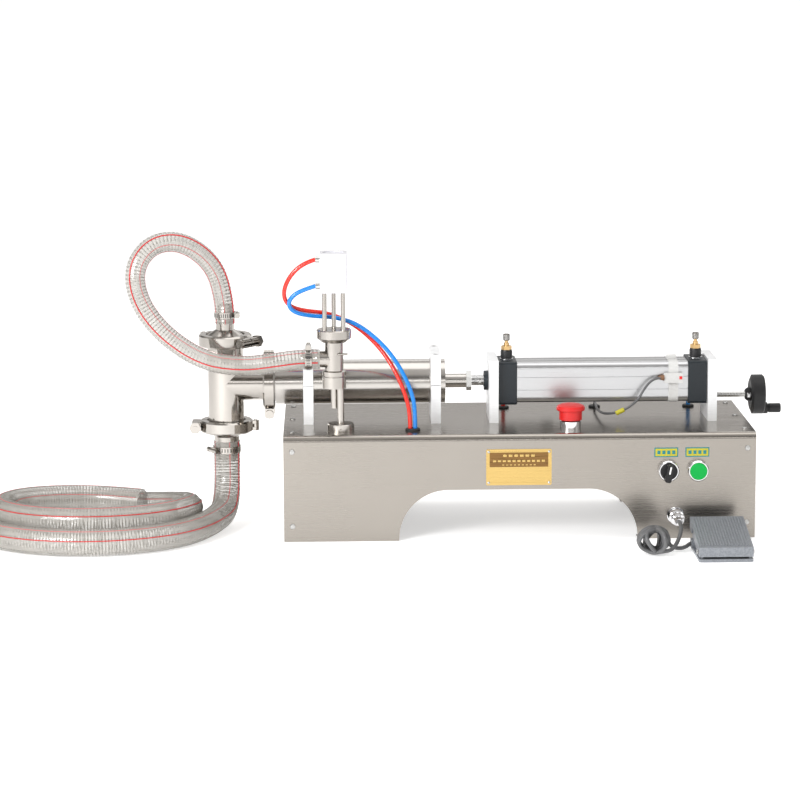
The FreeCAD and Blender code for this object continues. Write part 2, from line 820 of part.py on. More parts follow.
foot_cable_start = [
    (socket_x, -45, socket_z),
    (219, -60, 31.5),
    (216, -78, 25),
    (209, -96, 15),
    (200, -112, 9),
]

foot_cable_end = [
    (199, -92, 7),
    (209, -93, 4.5),
    (218, -88, 4),
    (224, -79, 6),
    (229, -72.5, 9),
    (234.5, -71, 10),
]


def hose_over_barb(route, diameter, label):
    """A hose whose ends are pushed over their barbs, so the ends are bored to fit."""
    root = diameter / 2 - hose_wall
    first, second = at(*route[0]), at(*route[1])
    along = (second - first).normalize()
    bores = [rod(root, first, first + along * (barb_depth + 1.5))]
    if diameter == transfer_hose_diameter:
        last, before = at(*route[-1]), at(*route[-2])
        along = (before - last).normalize()
        bores.append(rod(root, last, last + along * (barb_depth + 1.5)))
    return without(cord(route, diameter, label), *bores)


def suction_hose_coil():
    """The outer shape of the coiled hose: an oval ring with rounded edges."""
    def oval(a, b, z0, z1):
        ring = Part.Wire(Part.Ellipse(at(coil_x, coil_y, z0), a, b).toShape())
        return Part.Face(ring).extrude(at(0, 0, z1 - z0))

    solid = oval(coil_half_x, coil_half_y, 0, coil_height)
    solid = solid.makeFillet(coil_edge, [e for e in solid.Edges if e.BoundBox.ZLength < 1])
    return solid.cut(oval(coil_hole_x, coil_hole_y, -1, coil_height + 1))


def hose_clips():
    upper = at(tee_x, line_y, line_z + tee_reach + upper_neck + clip_inset)
    lower = at(tee_x, line_y, line_z - tee_reach - lower_neck - clip_inset)
    branch = at(nozzle_x - branch_neck - clip_inset - 4, nozzle_y, branch_z)
    return [hose_clip(upper, at(0, 0, 1), transfer_hose_diameter, at(1, 0, 0)),
            hose_clip(lower, at(0, 0, 1), suction_hose_diameter, at(-0.8, -0.6, 0)),
            hose_clip(branch, at(1, 0, 0), transfer_hose_diameter, at(0, 0, 1))]


# ================================================================ filling nozzle
def nozzle_body():
    axis = at(nozzle_x, nozzle_y, 0)
    foot, groove, waist = nozzle_foot_radius, nozzle_foot_radius - 1.2, nozzle_waist
    body = turned([(0, nozzle_base), (foot, nozzle_base), (foot, waist - 9), (groove, waist - 8.5),
                   (groove, waist - 7.5), (foot, waist - 7), (foot, waist - 1.5), (nozzle_radius, waist),
                   (nozzle_radius, nozzle_top), (0, nozzle_top)], axis, at(0, 0, 1))
    body = body.fuse(rod(outlet_radius, axis + at(0, 0, outlet_tip), axis + at(0, 0, nozzle_base + 2)))
    root = transfer_hose_diameter / 2 - hose_wall - 1.2
    bore = root - 1.6
    branch_start = at(nozzle_x, nozzle_y, branch_z)
    tail = barb_profile(0, root, barb_depth + 1, branch_neck)[1:-1]
    profile = [(0, 2), (root + 1.8, 2), (root + 1.8, branch_neck)] + tail
    profile.append((0, branch_neck + barb_depth + 1))
    body = body.fuse(turned(profile, branch_start, at(-1, 0, 0)))
    pin_start = at(nozzle_x + 5, nozzle_y - 12, nozzle_top - 16)
    body = body.fuse(rod(1.5, pin_start, pin_start + at(14, 0, 0)))
    tools = [rod(chamber_radius, axis + at(0, 0, chamber_floor), axis + at(0, 0, nozzle_top + 1)),
             rod(outlet_bore, axis + at(0, 0, outlet_tip - 1), axis + at(0, 0, chamber_floor + 1)),
             rod(bore - 1, branch_start, branch_start + at(-branch_reach - 2, 0, 0)),
             rod(support_radius, support_at(nozzle_base - 1), support_at(nozzle_base + support_socket))]
    return without(body, *tools).removeSplitter()


def nozzle_stem():
    axis = at(nozzle_x, nozzle_y, 0)
    foot = chamber_floor + touch_gap
    head = lift_base + lift_floor + 2.0
    top = head + lift_piston_height
    return turned([(0, foot), (outlet_bore - 0.5, foot), (stem_tip_radius, foot + 2),
                   (stem_tip_radius, foot + 5), (stem_radius, foot + 8), (stem_radius, head),
                   (lift_bore, head), (lift_bore, top), (0, top)], axis, at(0, 0, 1))


def standoff_places():
    return [(nozzle_x + a * standoff_pitch, nozzle_y + b * standoff_pitch)
            for a in (-1, 1) for b in (-1, 1)]


def nozzle_union_nut():
    axis = at(nozzle_x, nozzle_y, 0)
    bore = stem_radius + running
    nut = turned([(bore, nozzle_top), (nozzle_radius + 4, nozzle_top), (union_radius, nozzle_top + 6),
                  (union_radius, union_top - 1.5), (union_radius - 1.5, union_top), (bore, union_top)],
                 axis, at(0, 0, 1))
    tools = [rod(m4, at(x, y, union_top - spigot_depth), at(x, y, union_top + 1))
             for x, y in standoff_places()]
    return without(nut, *tools)


def nozzle_standoffs():
    posts = []
    for x, y in standoff_places():
        post = rod(standoff_radius, at(x, y, union_top), at(x, y, lift_base))
        spigot = rod(m4, at(x, y, union_top - spigot_depth), at(x, y, lift_base + spigot_depth))
        posts.append(joined(post, spigot))
    return posts


def lift_cylinder():
    half = lift_side / 2
    block = box((nozzle_x - half, nozzle_x + half), (nozzle_y - half, nozzle_y + half),
                (lift_base, lift_top))
    block = rounded(block, 2.0, at(0, 0, 1))
    axis = at(nozzle_x, nozzle_y, 0)
    floor = lift_base + lift_floor
    roof = floor + 2.0 + lift_piston_height + stem_travel + 2.0
    recess = rod(lift_bore + 1, axis + at(0, 0, lift_top - 1.2), axis + at(0, 0, lift_top + 1))
    tools = [rod(stem_radius + running, axis + at(0, 0, lift_base - 1), axis + at(0, 0, floor + 1)),
             rod(lift_bore + running, axis + at(0, 0, floor), axis + at(0, 0, roof)), recess]
    for x, y in standoff_places():
        tools.append(rod(m4, at(x, y, lift_base - 1), at(x, y, lift_base + spigot_depth)))
    return without(block, *tools)


def support_at(z):
    return at(support_x, support_y, z)


def support_rod():
    post = rod(support_radius, support_at(plate_top), support_at(nozzle_base + support_socket))
    return post.cut(rod(m6, support_at(plate_top - 1), support_at(plate_top + 9)))


def rod_flange():
    centre = at(support_x, support_y, plate_top)
    collar = turned([(support_radius, 0), (flange_radius, 0), (flange_radius, flange_height - 1),
                     (flange_radius - 1, flange_height), (support_radius, flange_height)],
                    centre, at(0, 0, 1))
    middle = centre + at(0, 0, flange_height / 2)
    collar = collar.cut(rod(2.5, middle - at(0, flange_radius + 1, 0), middle))
    screw = rod(2.5, middle - at(0, flange_radius - 1, 0), middle - at(0, support_radius, 0))
    screw = screw.cut(hexagon(2.6, middle - at(0, flange_radius, 0), middle - at(0, flange_radius - 4, 0)))
    return [collar, screw]


# ================================================================ air cylinder
def rounded_profile(side, corner, x):
    half = side / 2
    block = box(x, (line_y - half, line_y + half), (line_z - half, line_z + half))
    return rounded(block, corner, at(1, 0, 0))


def cylinder_barrel():
    barrel = rounded_profile(barrel_side, barrel_corner, (barrel_front, barrel_rear))
    tools = [rod(air_bore, on_line(barrel_front - 1), on_line(barrel_rear + 1))]
    x = (barrel_front - 1, barrel_rear + 1)
    half = barrel_side / 2
    for place in (-groove_offset, groove_offset):
        across = (place - groove_half, place + groove_half)
        for side in (-1, 1):
            into = sorted((side * (half - groove_depth), side * (half + 1)))
            tools.append(box(x, [line_y + v for v in into], [line_z + v for v in across]))
            tools.append(box(x, [line_y + v for v in across], [line_z + v for v in into]))
    return without(barrel, *tools)


def cylinder_cap(x, way):
    """An end cap; way points from the cap to its bracket."""
    cap = rounded_profile(cap_side, 4.0, x)
    cap = cap.makeChamfer(0.8, [e for e in cap.Edges if e.BoundBox.XLength < 0.01])
    middle = (x[0] + x[1]) / 2
    back = line_y + cap_side / 2
    tools = [rod(port_radius, at(middle, line_y, cap_top - port_depth), at(middle, line_y, cap_top + 1)),
             rod(port_radius, at(middle, back - port_depth, line_z), at(middle, back + 1, line_z))]
    outer = x[0] if way < 0 else x[1]
    for y, z in cap_screw_places():
        depth = outer - way * (20 - bracket_thickness + 6.2)
        ends = sorted((outer + way, depth))
        tools.append(rod(m6, at(ends[0], y, z), at(ends[1], y, z)))
    if way < 0:
        cap = cap.fuse(rod(nose_radius, on_line(x[0] - nose_length), on_line(x[0] + 1)))
        tools.append(rod(rod_radius + running, on_line(x[0] - nose_length - 1),
                         on_line(x[1] + 1)))
    return without(cap, *tools)


def air_piston():
    rear = barrel_rear - 4.0
    front = rear - air_piston_length
    shaft_end = cap_front - nose_length + 4.0
    body = turned([(0, 0), (thread_radius, 0), (thread_radius, shaft_end - thread_start),
                   (rod_radius, shaft_end - thread_start + 1), (rod_radius, front - thread_start),
                   (air_bore - running, front - thread_start), (air_bore - running, rear - thread_start),
                   (0, rear - thread_start)], on_line(thread_start), at(1, 0, 0))
    pin = rod(cross_pin_radius, at(cross_pin_x, line_y - 20, line_z), at(cross_pin_x, line_y + 20, line_z))
    return body.cut(pin)


def flow_control(x):
    """A flow-control valve standing on a cap, without its adjusting knob."""
    base = at(x, line_y, cap_top)
    stem_bore = 2.5 + running
    body = turned([(0, -port_depth), (port_radius, -port_depth), (port_radius, 0), (8.5, 0), (8.5, 11),
                   (7.6, 13.4), (4, 13.4), (stem_bore, 13.4), (stem_bore, 3), (0, 3)], base, at(0, 0, 1))
    hexed = hexagon(13.0, base + at(0, 0, 13.4), base + at(0, 0, 19))
    neck = rod(3.9, base + at(0, 0, 19), base + at(0, 0, 23))
    hole = rod(stem_bore, base + at(0, 0, 3), base + at(0, 0, 24))
    return joined(body, hexed, neck).cut(hole)


def flow_knob(x):
    base = at(x, line_y, cap_top)
    stem = rod(2.5, base + at(0, 0, 3 + touch_gap), base + at(0, 0, 27))
    knob = turned([(0, 26.6), (4.2, 26.6), (4.7, 27.2), (4.7, 35.2), (4.0, 36), (0, 36)], base, at(0, 0, 1))
    return joined(stem, knob)


def push_in(start, way, radius, length):
    """A push-in air fitting: threaded root, hexagon and release collar."""
    thread = rod(0.62 * radius, start - way * 6, start)
    hexed = hexagon(1.75 * radius, start, start + way * (0.4 * length))
    collar = rod(0.85 * radius, start + way * (0.4 * length), start + way * length)
    return joined(thread, hexed, collar)


def air_fittings():
    fittings = [flow_control(x) for x in port_tube_x]
    for x in port_tube_x:
        back = at(x, line_y + cap_side / 2, line_z)
        root = rod(port_radius, back - at(0, port_depth, 0), back)
        body = joined(root, rod(6.5, back, back + at(0, 9, 0)))
        fittings.append(joined(body, rod(5.0, back + at(0, 9, 0), back + at(0, 13, 0))))
    side = nozzle_x - lift_side / 2
    for z in (354.0, 391.0):
        port = at(side, nozzle_y, z)
        fittings.append(rod(4.2, port, port + at(-6, 0, 0)))
    back = at(inlet_x, base_depth, rear_z)
    inlet = joined(rod(6.5, back - at(0, 12, 0), back), hexagon(18.0, back, back + at(0, 9, 0)),
                   rod(7.0, back + at(0, 9, 0), back + at(0, 24, 0)))
    fittings.append(inlet.cut(rod(4.0, back + at(0, 6, 0), back + at(0, 25, 0))))
    return fittings


def port_tube(x):
    start = line_y + cap_side / 2 + 13.0
    route = [(x, start, line_z), (x, start + 12, line_z - 1), (x, port_tube_y - 4, line_z - 12),
             (x, port_tube_y, line_z - 32), (x, port_tube_y, plate_top)]
    return cord(route, 2 * tube_radius_air, "port tube")


def grommet(x, y, outer, hole, bores):
    """A rubber grommet in the plate, bored for each tube or cable."""
    centre = at(x, y, plate_top)
    ring = turned([(0, -sheet - 3), (outer, -sheet - 3), (outer, -sheet), (hole, -sheet), (hole, 0),
                   (outer, 0), (outer, 2), (outer - 1.2, 3.2), (0, 3.2)], centre, at(0, 0, 1))
    return without(ring, *[rod(r, at(bx, y, plate_top - 9), at(bx, y, plate_top + 9)) for bx, r in bores])


def grommets():
    tube = tube_radius_air + running
    pieces = [grommet(grommet_x, grommet_y, 10.5, 8.0, [(grommet_x - 3.5, tube), (grommet_x + 3.5, tube)]),
              grommet(cable_grommet_x, port_tube_y, 8.5, 6.0, [(cable_grommet_x, 1.8)])]
    pieces += [grommet(x, port_tube_y, 8.5, 6.0, [(x, tube)]) for x in port_tube_x]
    back = at(gland_x, base_depth, rear_z)
    gland = joined(rod(8.0, back - at(0, 12, 0), back), hexagon(22.0, back, back + at(0, 6, 0)),
                   turned([(0, 6), (10, 6), (10, 14), (7.5, 20), (0, 20)], back, at(0, 1, 0)))
    pieces.append(gland.cut(rod(3.5, back - at(0, 13, 0), back + at(0, 21, 0))))
    return pieces


def reed_switch():
    """The fixed reed switch: a band about the barrel and the sensor on its front face."""
    x = (218.0, 232.0)
    half = barrel_side / 2
    inside = rounded_profile(barrel_side, barrel_corner, (x[0] - 1, x[1] + 1))
    band = rounded_profile(barrel_side + 1.6, barrel_corner + 0.8, x).cut(inside)
    hump = rod(4.0, at(x[0], line_y, line_z + half + 2.5), at(x[1], line_y, line_z + half + 2.5))
    hump = hump.cut(inside)
    front = line_y - half
    sensor = box((211, 238), (front - 7.5, front - 0.8), (line_z, line_z + 14.0))
    return joined(band, hump), rounded(sensor, 1.5, at(0, 1, 0))


def reed_carriage():
    """The sliding reed switch behind the barrel, on a nut that the lead screw drives."""
    face = line_y + barrel_side / 2 + touch_gap
    nut = box((carriage_x - 8, carriage_x + 8), (face, screw_y + 8), (screw_z - 7.5, screw_z + 8))
    arm = box((carriage_x - 8, carriage_x + 8), (face, face + 6), (screw_z + 7, line_z + 12))
    sensor = box((carriage_x - 13, carriage_x + 13), (face, face + 7), (line_z, line_z + 12))
    bore = rod(screw_radius + running, on_screw(carriage_x - 9), on_screw(carriage_x + 9))
    return joined(nut, arm, sensor).cut(bore)


def lead_screw():
    start = on_screw(cap_front - bracket_thickness)
    return rod(screw_radius, start, on_screw(wheel_front + 8))


def handwheel():
    axis = on_screw(0)
    x0, x1 = wheel_front, wheel_front + wheel_thickness
    bore = screw_radius
    wheel = turned([(0, x0 - 8), (7, x0 - 8), (9.5, x0 - 5), (9.5, x0 + 1), (wheel_radius - 7, x0 - 1),
                    (wheel_radius, x0 + 2), (wheel_radius, x1 - 2), (wheel_radius - 2, x1),
                    (wheel_radius - 7, x1), (wheel_radius - 8, x1 - 6), (10, x1 - 6), (8, x1), (0, x1)],
                   axis, at(1, 0, 0))
    drop = at(0, 0, -grip_offset)
    wheel = joined(wheel, rod(8.2, on_screw(x0 + 3) + drop, on_screw(x1 + grip_boss - touch_gap) + drop))
    set_screw = rod(2.0, at(x0 - 3, screw_y - 12, screw_z), on_screw(x0 - 3))
    axle = rod(grip_axle + running, on_screw(x0 + 8) + drop, on_screw(x1 + 9) + drop)
    tools = [rod(bore, on_screw(x0 - 9), on_screw(wheel_front + 8)), set_screw, axle]
    return [without(wheel, *tools), set_screw.cut(rod(bore, on_screw(x0 - 9), on_screw(x0 + 9)))]


def crank_grip():
    x1 = wheel_front + wheel_thickness + grip_boss
    axis = at(0, screw_y, screw_z - grip_offset)
    end = x1 + grip_length
    return turned([(0, wheel_front + 9), (grip_axle, wheel_front + 9), (grip_axle, x1),
                   (grip_radius - 0.8, x1), (grip_radius, x1 + 3), (grip_radius, end - 1),
                   (grip_radius - 1, end), (0, end)], axis, at(1, 0, 0))


# ================================================================ operators
def estop_base():
    """Chrome ring, threaded barrel and ring nut of the emergency stop."""
    base = at(estop_x, estop_y, plate_top)
    bore = operator_stem + 1 + running
    ring = turned([(bore, 0), (14.5, 0), (14.5, 11.5), (13, 13), (bore, 13)], base, at(0, 0, 1))
    barrel = pipe(operator_barrel, bore, base + at(0, 0, -25), base)
    nut = hexagon(27.0, base + at(0, 0, -sheet - 6), base + at(0, 0, -sheet))
    nut = nut.cut(rod(operator_barrel - 0.5, base + at(0, 0, -20), base))
    return joined(ring, barrel, nut)


def estop_head():
    base = at(estop_x, estop_y, plate_top)
    top = 36.0
    return turned([(0, -28), (operator_stem + 1, -28), (operator_stem + 1, 13 + estop_travel + 1),
                   (14.9, 13 + estop_travel + 1), (14.9, 13.6), (16, 13.6), (16, 26), (19, 26.5), (20, 28),
                   (20, 30.5), (18.6, 33), (14, 35), (7, top), (0, top)], base, at(0, 0, 1))


def panel_operator(x):
    """Chrome body of a panel-mounted operator: bezel, barrel through the panel and ring nut."""
    base = at(x, 0, operator_z)
    bore = operator_stem + running
    body = turned([(bore, -25), (operator_barrel, -25), (operator_barrel, 0), (bezel_radius, 0),
                   (bezel_radius, bezel_height - 2), (bezel_radius - 1.4, bezel_height),
                   (12.3, bezel_height), (12.3, 1.2), (bore, 1.2)], base, at(0, -1, 0))
    nut = hexagon(27.0, base + at(0, sheet, 0), base + at(0, sheet + 6, 0))
    nut = nut.cut(rod(operator_barrel - 0.5, base, base + at(0, 20, 0)))
    return joined(body, nut)


def start_button():
    base = at(start_x, 0, operator_z)
    cap = 1.2 + button_travel + 0.5
    foot = button_travel - 28
    return turned([(0, foot), (operator_stem, foot), (operator_stem, cap), (12, cap), (12, 11.2), (11.2, 12),
                   (0, 12)], base, at(0, -1, 0))


def selector_knob():
    base = at(selector_x, 0, operator_z)
    disc = turned([(0, -28), (operator_stem, -28), (operator_stem, 2), (12, 2), (12, 10.5), (11, 11.5),
                   (0, 11.5)], base, at(0, -1, 0))
    lever = rounded(Part.makeBox(25, 9, 11, at(-11, -4.5, 0)), 3.0, at(0, 0, 1))
    turn = FreeCAD.Rotation(at(0, -1, 0), 258).multiply(FreeCAD.Rotation(at(1, 0, 0), 90))
    lever.Placement = FreeCAD.Placement(base + at(0, -11, 0), turn)
    return joined(disc, lever)


def switch_blocks():
    """Contact blocks behind the three operators and the microswitch in the foot switch."""
    blocks = []
    for x in (selector_x, start_x):
        block = rounded(box((x - 14, x + 14), (29, 62), (operator_z - 20, operator_z + 20)), 2.0, at(0, 1, 0))
        clip = pipe(operator_barrel + 3, operator_barrel, at(x, 12, operator_z), at(x, 29, operator_z))
        blocks.append(joined(block, clip))
    block = rounded(box((estop_x - 14, estop_x + 14), (estop_y - 20, estop_y + 20),
                        (plate_top - 66, plate_top - 34)), 2.0, at(0, 0, 1))
    clip = pipe(operator_barrel + 3, operator_barrel, at(estop_x, estop_y, plate_top - 34),
                at(estop_x, estop_y, plate_top - 12))
    blocks.append(joined(block, clip))
    micro = box((foot_x - 15, foot_x + 15), (-82, -62), (foot_floor, foot_floor + 12))
    plunger = rod(2.5, at(foot_x, -72, foot_floor + 12), at(foot_x, -72, foot_floor + 15))
    blocks.append(joined(micro, plunger))
    return blocks


def solenoid_valve():
    """A five-port solenoid valve with two coils, hung under the plate."""
    top = plate_top - sheet
    body = rounded(box((-70, 20), (218, 248), (top - 38, top)), 2.0, at(1, 0, 0))
    pieces = [body]
    for x in ((-98, -70), (20, 48)):
        pieces.append(rounded(box(x, (221, 245), (top - 36, top - 6)), 3.0, at(1, 0, 0)))
    for x in (-45, -25, -5):
        pieces.append(rod(6.0, at(x, 233, top - 52), at(x, 233, top - 38)))
    return joined(*pieces)


def foot_socket():
    base = at(socket_x, 0, socket_z)
    return turned([(3, -16), (8, -16), (8, 0), (12, 0), (12, 2.5), (9.5, 2.5), (9.5, 5), (3, 5)],
                  base, at(0, -1, 0))


def foot_plug():
    base = at(socket_x, 0, socket_z)
    return turned([(0, 0), (3, 0), (3, 5), (10.5, 5), (10.5, 17), (8.5, 18.5), (8.5, 31), (6, 33), (4.6, 45),
                   (0, 45)], base, at(0, -1, 0))


# ================================================================ foot switch
def foot_base():
    left, right = foot_x - foot_width / 2, foot_x + foot_width / 2
    floor = rounded(box((left, right), (foot_front, foot_back), (0, foot_floor)), 4.0, at(0, 0, 1))
    back = box((left + 12, right - 12), (foot_back - 6, foot_back - 3), (foot_floor - 1, 18))
    walls = []
    inset = pedal_wall + 0.8
    for x in ((left + inset, left + inset + 2.5), (right - inset - 2.5, right - inset)):
        walls.append(outline([(foot_front + 4, foot_floor - 1), (foot_front + 4, 16), (foot_back - 4, 19),
                              (foot_back - 4, foot_floor - 1)], "x", x))
    pin = rod(foot_pin_radius, at(left, pedal_hinge_y, pedal_hinge_z),
              at(right, pedal_hinge_y, pedal_hinge_z))
    inlet = box((left - 2, left + 12), (-78, -64), (foot_floor - 1, 15))
    hole = rod(foot_cable_diameter / 2, at(left - 3, -71, 10), at(left + 1, -71, 10))
    return without(joined(floor, back, *walls, inlet), pin, hole)


def pedal_block(inset):
    """The pedal's wedge, drawn in by inset on every side but the bottom."""
    x = (foot_x - foot_width / 2 + inset, foot_x + foot_width / 2 - inset)
    front, back = foot_front + 1 + inset, foot_back - inset
    drop = inset * 1.02
    return outline([(front, 7.0 - inset), (front, pedal_low - drop), (back, pedal_high - drop),
                    (back, 24.0 - 4 * inset)], "x", x)


def foot_pedal():
    wedge = pedal_block(0)
    wedge = wedge.cut(pedal_block(pedal_wall))
    slope = math.atan2(pedal_high - pedal_low, foot_back - foot_front - 1)
    ribs, count = [], 18
    step = (foot_width - 8) / (count - 1)
    for i in range(count):
        x = foot_x - foot_width / 2 + 4 + i * step
        start = at(x, foot_front + 7, pedal_low + 6 * math.tan(slope) - 0.3)
        end = at(x, foot_back - 2, pedal_high - 2 * math.tan(slope) - 0.3)
        ribs.append(rod(1.2, start, end))
    wedge = joined(wedge, *ribs)
    left, right = foot_x - foot_width / 2, foot_x + foot_width / 2
    hole = rod(foot_pin_radius + running, at(left - 1, pedal_hinge_y, pedal_hinge_z),
               at(right + 1, pedal_hinge_y, pedal_hinge_z))
    door = box((left - 1, left + pedal_wall + 1), (-81, -61), (0, 30))
    return without(wedge, hole, door)


def foot_pins():
    left, right = foot_x - foot_width / 2, foot_x + foot_width / 2
    inset = pedal_wall + 0.8
    pins = []
    for outer, inner in ((left - 2.2, left + inset + 2.5), (right + 2.2, right - inset - 2.5)):
        head = at(outer, pedal_hinge_y, pedal_hinge_z)
        neck = outer + math.copysign(1.8, inner - outer)
        pins.append(joined(rod(foot_pin_radius, head, at(inner, pedal_hinge_y, pedal_hinge_z)),
                           rod(3.4, head, at(neck, pedal_hinge_y, pedal_hinge_z))))
    return pins


def foot_cable_hank():
    """The outer shape of the folded cable between the plug and the foot switch."""
    hank = box((150, 206), (-132, -60), (0, 39))
    hank = rounded(hank, 14.0, at(0, 0, 1))
    return hank.makeFillet(12.0, [e for e in hank.Edges if e.BoundBox.ZMin > 38])


# ================================================================ the whole machine
halves, bolts = tee_clamps()
band, sensor = reed_switch()
foot_cables = [cord(foot_cable_start, foot_cable_diameter, "foot cable to plug"),
               cord(foot_cable_end, foot_cable_diameter, "foot cable to switch")]

save("base_shell", base_shell())
save("end_panels", end_panel(-1), end_panel(1))
save("machine_screws", *machine_screws())
save("nameplate", nameplate())
save("tube_clamp_bases", tube_clamp_base(front_clamp_x), tube_clamp_base(rear_clamp_x))
save("tube_clamp_caps", tube_clamp_cap(front_clamp_x), tube_clamp_cap(rear_clamp_x))
save("cylinder_brackets", cylinder_bracket(cap_front - bracket_thickness, 1),
     cylinder_bracket(cap_rear + bracket_thickness, -1))
save("product_cylinder", product_cylinder())
save("product_piston", product_piston())
save("piston_seals", *piston_seals())
save("piston_rod", piston_rod())
save("rod_nuts", *rod_nuts())
save("tee_body", tee_body())
save("tee_gaskets", *tee_gaskets())
save("clamp_halves", *halves)
save("clamp_bolts", *bolts)
save("hose_barbs", *hose_barbs())
save("hose_clips", *hose_clips())
save("check_valve_cages", check_valve_cage(inlet_seat_z()), check_valve_cage(outlet_seat_z()))
save("inlet_check_ball", check_ball(inlet_seat_z()))
save("outlet_check_ball", check_ball(outlet_seat_z()))
save("transfer_hose", hose_over_barb(transfer_route, transfer_hose_diameter, "transfer hose"))
save("suction_hose", hose_over_barb(suction_route, suction_hose_diameter, "suction hose"))
save("suction_hose_coil", suction_hose_coil())
save("nozzle_body", nozzle_body())
save("nozzle_stem", nozzle_stem())
save("nozzle_union_nut", nozzle_union_nut())
save("nozzle_standoffs", *nozzle_standoffs())
save("lift_cylinder", lift_cylinder())
save("support_rod", support_rod())
save("rod_flange", *rod_flange())
save("red_air_tube", cord(red_route, 2 * tube_radius_air, "red air tube"))
save("blue_air_tube", cord(blue_route, 2 * tube_radius_air, "blue air tube"))
save("cylinder_barrel", cylinder_barrel())
save("cylinder_caps", cylinder_cap((cap_front, barrel_front), -1), cylinder_cap((barrel_rear, cap_rear), 1))
save("air_piston", air_piston())
save("air_fittings", *air_fittings())
save("front_flow_knob", flow_knob(port_tube_x[0]))
save("rear_flow_knob", flow_knob(port_tube_x[1]))
save("port_tubes", *[port_tube(x) for x in port_tube_x])
save("grommets", *grommets())
save("reed_switch", band, sensor)
save("reed_cable", cord(reed_route, 3.5, "reed cable"))
save("reed_carriage", reed_carriage())
save("lead_screw", lead_screw())
save("handwheel", *handwheel())
save("crank_grip", crank_grip())
save("operator_bases", estop_base(), panel_operator(selector_x), panel_operator(start_x))
save("estop_head", estop_head())
save("start_button", start_button())
save("selector_knob", selector_knob())
save("switch_blocks", *switch_blocks())
save("solenoid_valve", solenoid_valve())
save("foot_socket", foot_socket())
save("foot_plug", foot_plug())
save("foot_cable", *foot_cables)
save("foot_cable_hank", foot_cable_hank())
save("foot_base", foot_base())
save("foot_pedal", foot_pedal())
save("foot_pins", *foot_pins())
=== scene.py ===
import math
import bmesh
import bpy
from mathutils import Matrix, Vector


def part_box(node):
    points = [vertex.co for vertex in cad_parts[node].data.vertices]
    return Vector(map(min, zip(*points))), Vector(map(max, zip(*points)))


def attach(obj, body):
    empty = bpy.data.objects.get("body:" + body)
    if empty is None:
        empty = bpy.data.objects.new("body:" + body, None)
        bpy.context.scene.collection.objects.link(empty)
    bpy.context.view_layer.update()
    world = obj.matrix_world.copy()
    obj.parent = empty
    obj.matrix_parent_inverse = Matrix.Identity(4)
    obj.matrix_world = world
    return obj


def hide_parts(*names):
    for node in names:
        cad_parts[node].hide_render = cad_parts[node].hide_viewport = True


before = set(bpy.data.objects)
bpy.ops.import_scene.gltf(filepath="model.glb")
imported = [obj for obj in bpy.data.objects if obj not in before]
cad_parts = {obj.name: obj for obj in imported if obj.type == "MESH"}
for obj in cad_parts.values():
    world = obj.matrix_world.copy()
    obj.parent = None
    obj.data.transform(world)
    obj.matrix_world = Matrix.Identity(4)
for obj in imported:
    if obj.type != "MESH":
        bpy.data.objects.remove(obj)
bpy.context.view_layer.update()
scene = bpy.context.scene
scene.view_settings.view_transform = "Standard"
baseLow, baseHigh = (Vector(corner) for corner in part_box("base_shell"))
datum = Vector(((baseLow.x + baseHigh.x) / 2, baseLow.y, 0))
xAxis = Vector((1, 0, 0))
yAxis = Vector((0, 1, 0))
zAxis = Vector((0, 0, 1))
print("frame loaded")


def at(x, y, z):  # metres from the middle of the base's front edge, on the bench
    return datum + Vector((x, y, z))


def standAlong(place, axis):  # moves to a place and turns Z onto an axis
    return Matrix.Translation(place) @ axis.to_track_quat("Z", "Y").to_matrix().to_4x4()


# camera, lights and floor

camera = {"place": (-0.2592, -3.8756, 0.9031), "target": (-0.16717, 0, 0.20035),
          "roll": -0.0048, "lens": 127.8, "clip": 100}


def makeCamera():
    data = bpy.data.cameras.new("camera")
    data.lens = camera["lens"]
    data.clip_end = camera["clip"]
    eye = bpy.data.objects.new("camera", data)
    scene.collection.objects.link(eye)
    forward = (Vector(camera["target"]) - Vector(camera["place"])).normalized()
    right = forward.cross(zAxis).normalized()
    turn = Matrix((right, right.cross(forward), -forward)).transposed()
    eye.matrix_world = Matrix.Translation(at(*camera["place"])) @ turn.to_4x4()
    eye.matrix_world = eye.matrix_world @ Matrix.Rotation(camera["roll"], 4, "Z")
    scene.camera = eye


lamps = [
    {"name": "softboxFrontLeft", "place": (-1.6, -1.7, 1.2), "size": (1.2, 0.9), "power": 34},
    {"name": "lampLeftFloor", "place": (-1.05, -1.0, 0.75), "size": (0.4, 0.4), "power": 7},
    {"name": "softboxTop", "place": (0.0, 0.3, 2.3), "size": (2.6, 1.4), "power": 16},
    {"name": "stripFront", "place": (0.2, -2.6, 0.75), "size": (2.4, 0.16), "power": 4},
    {"name": "softboxRight", "place": (2.2, -0.9, 1.2), "size": (0.9, 0.9), "power": 4},
    {"name": "softboxBack", "place": (0.3, 2.4, 1.6), "size": (2.2, 1.0), "power": 8},
]
lampTarget = (-0.1, 0.1, 0.2)


def makeLights():
    for lamp in lamps:
        data = bpy.data.lights.new(lamp["name"], "AREA")
        data.shape = "RECTANGLE"
        data.size, data.size_y = lamp["size"]
        data.energy = lamp["power"]
        light = bpy.data.objects.new(lamp["name"], data)
        scene.collection.objects.link(light)
        place = at(*lamp["place"])
        away = place - at(*lampTarget)
        light.matrix_world = standAlong(place, away)


# tones run from straight down at 0 to straight up at 1, with the horizon at 0.5
studio = {
    "strength": 0.8,
    "tint": (1, 0.975, 0.95),
    "tones": [(0.0, 0.9), (0.52, 0.8), (0.56, 0.9), (0.63, 0.8), (0.7, 0.2), (0.76, 0.25),
              (0.84, 0.85), (1.0, 0.95)],
}


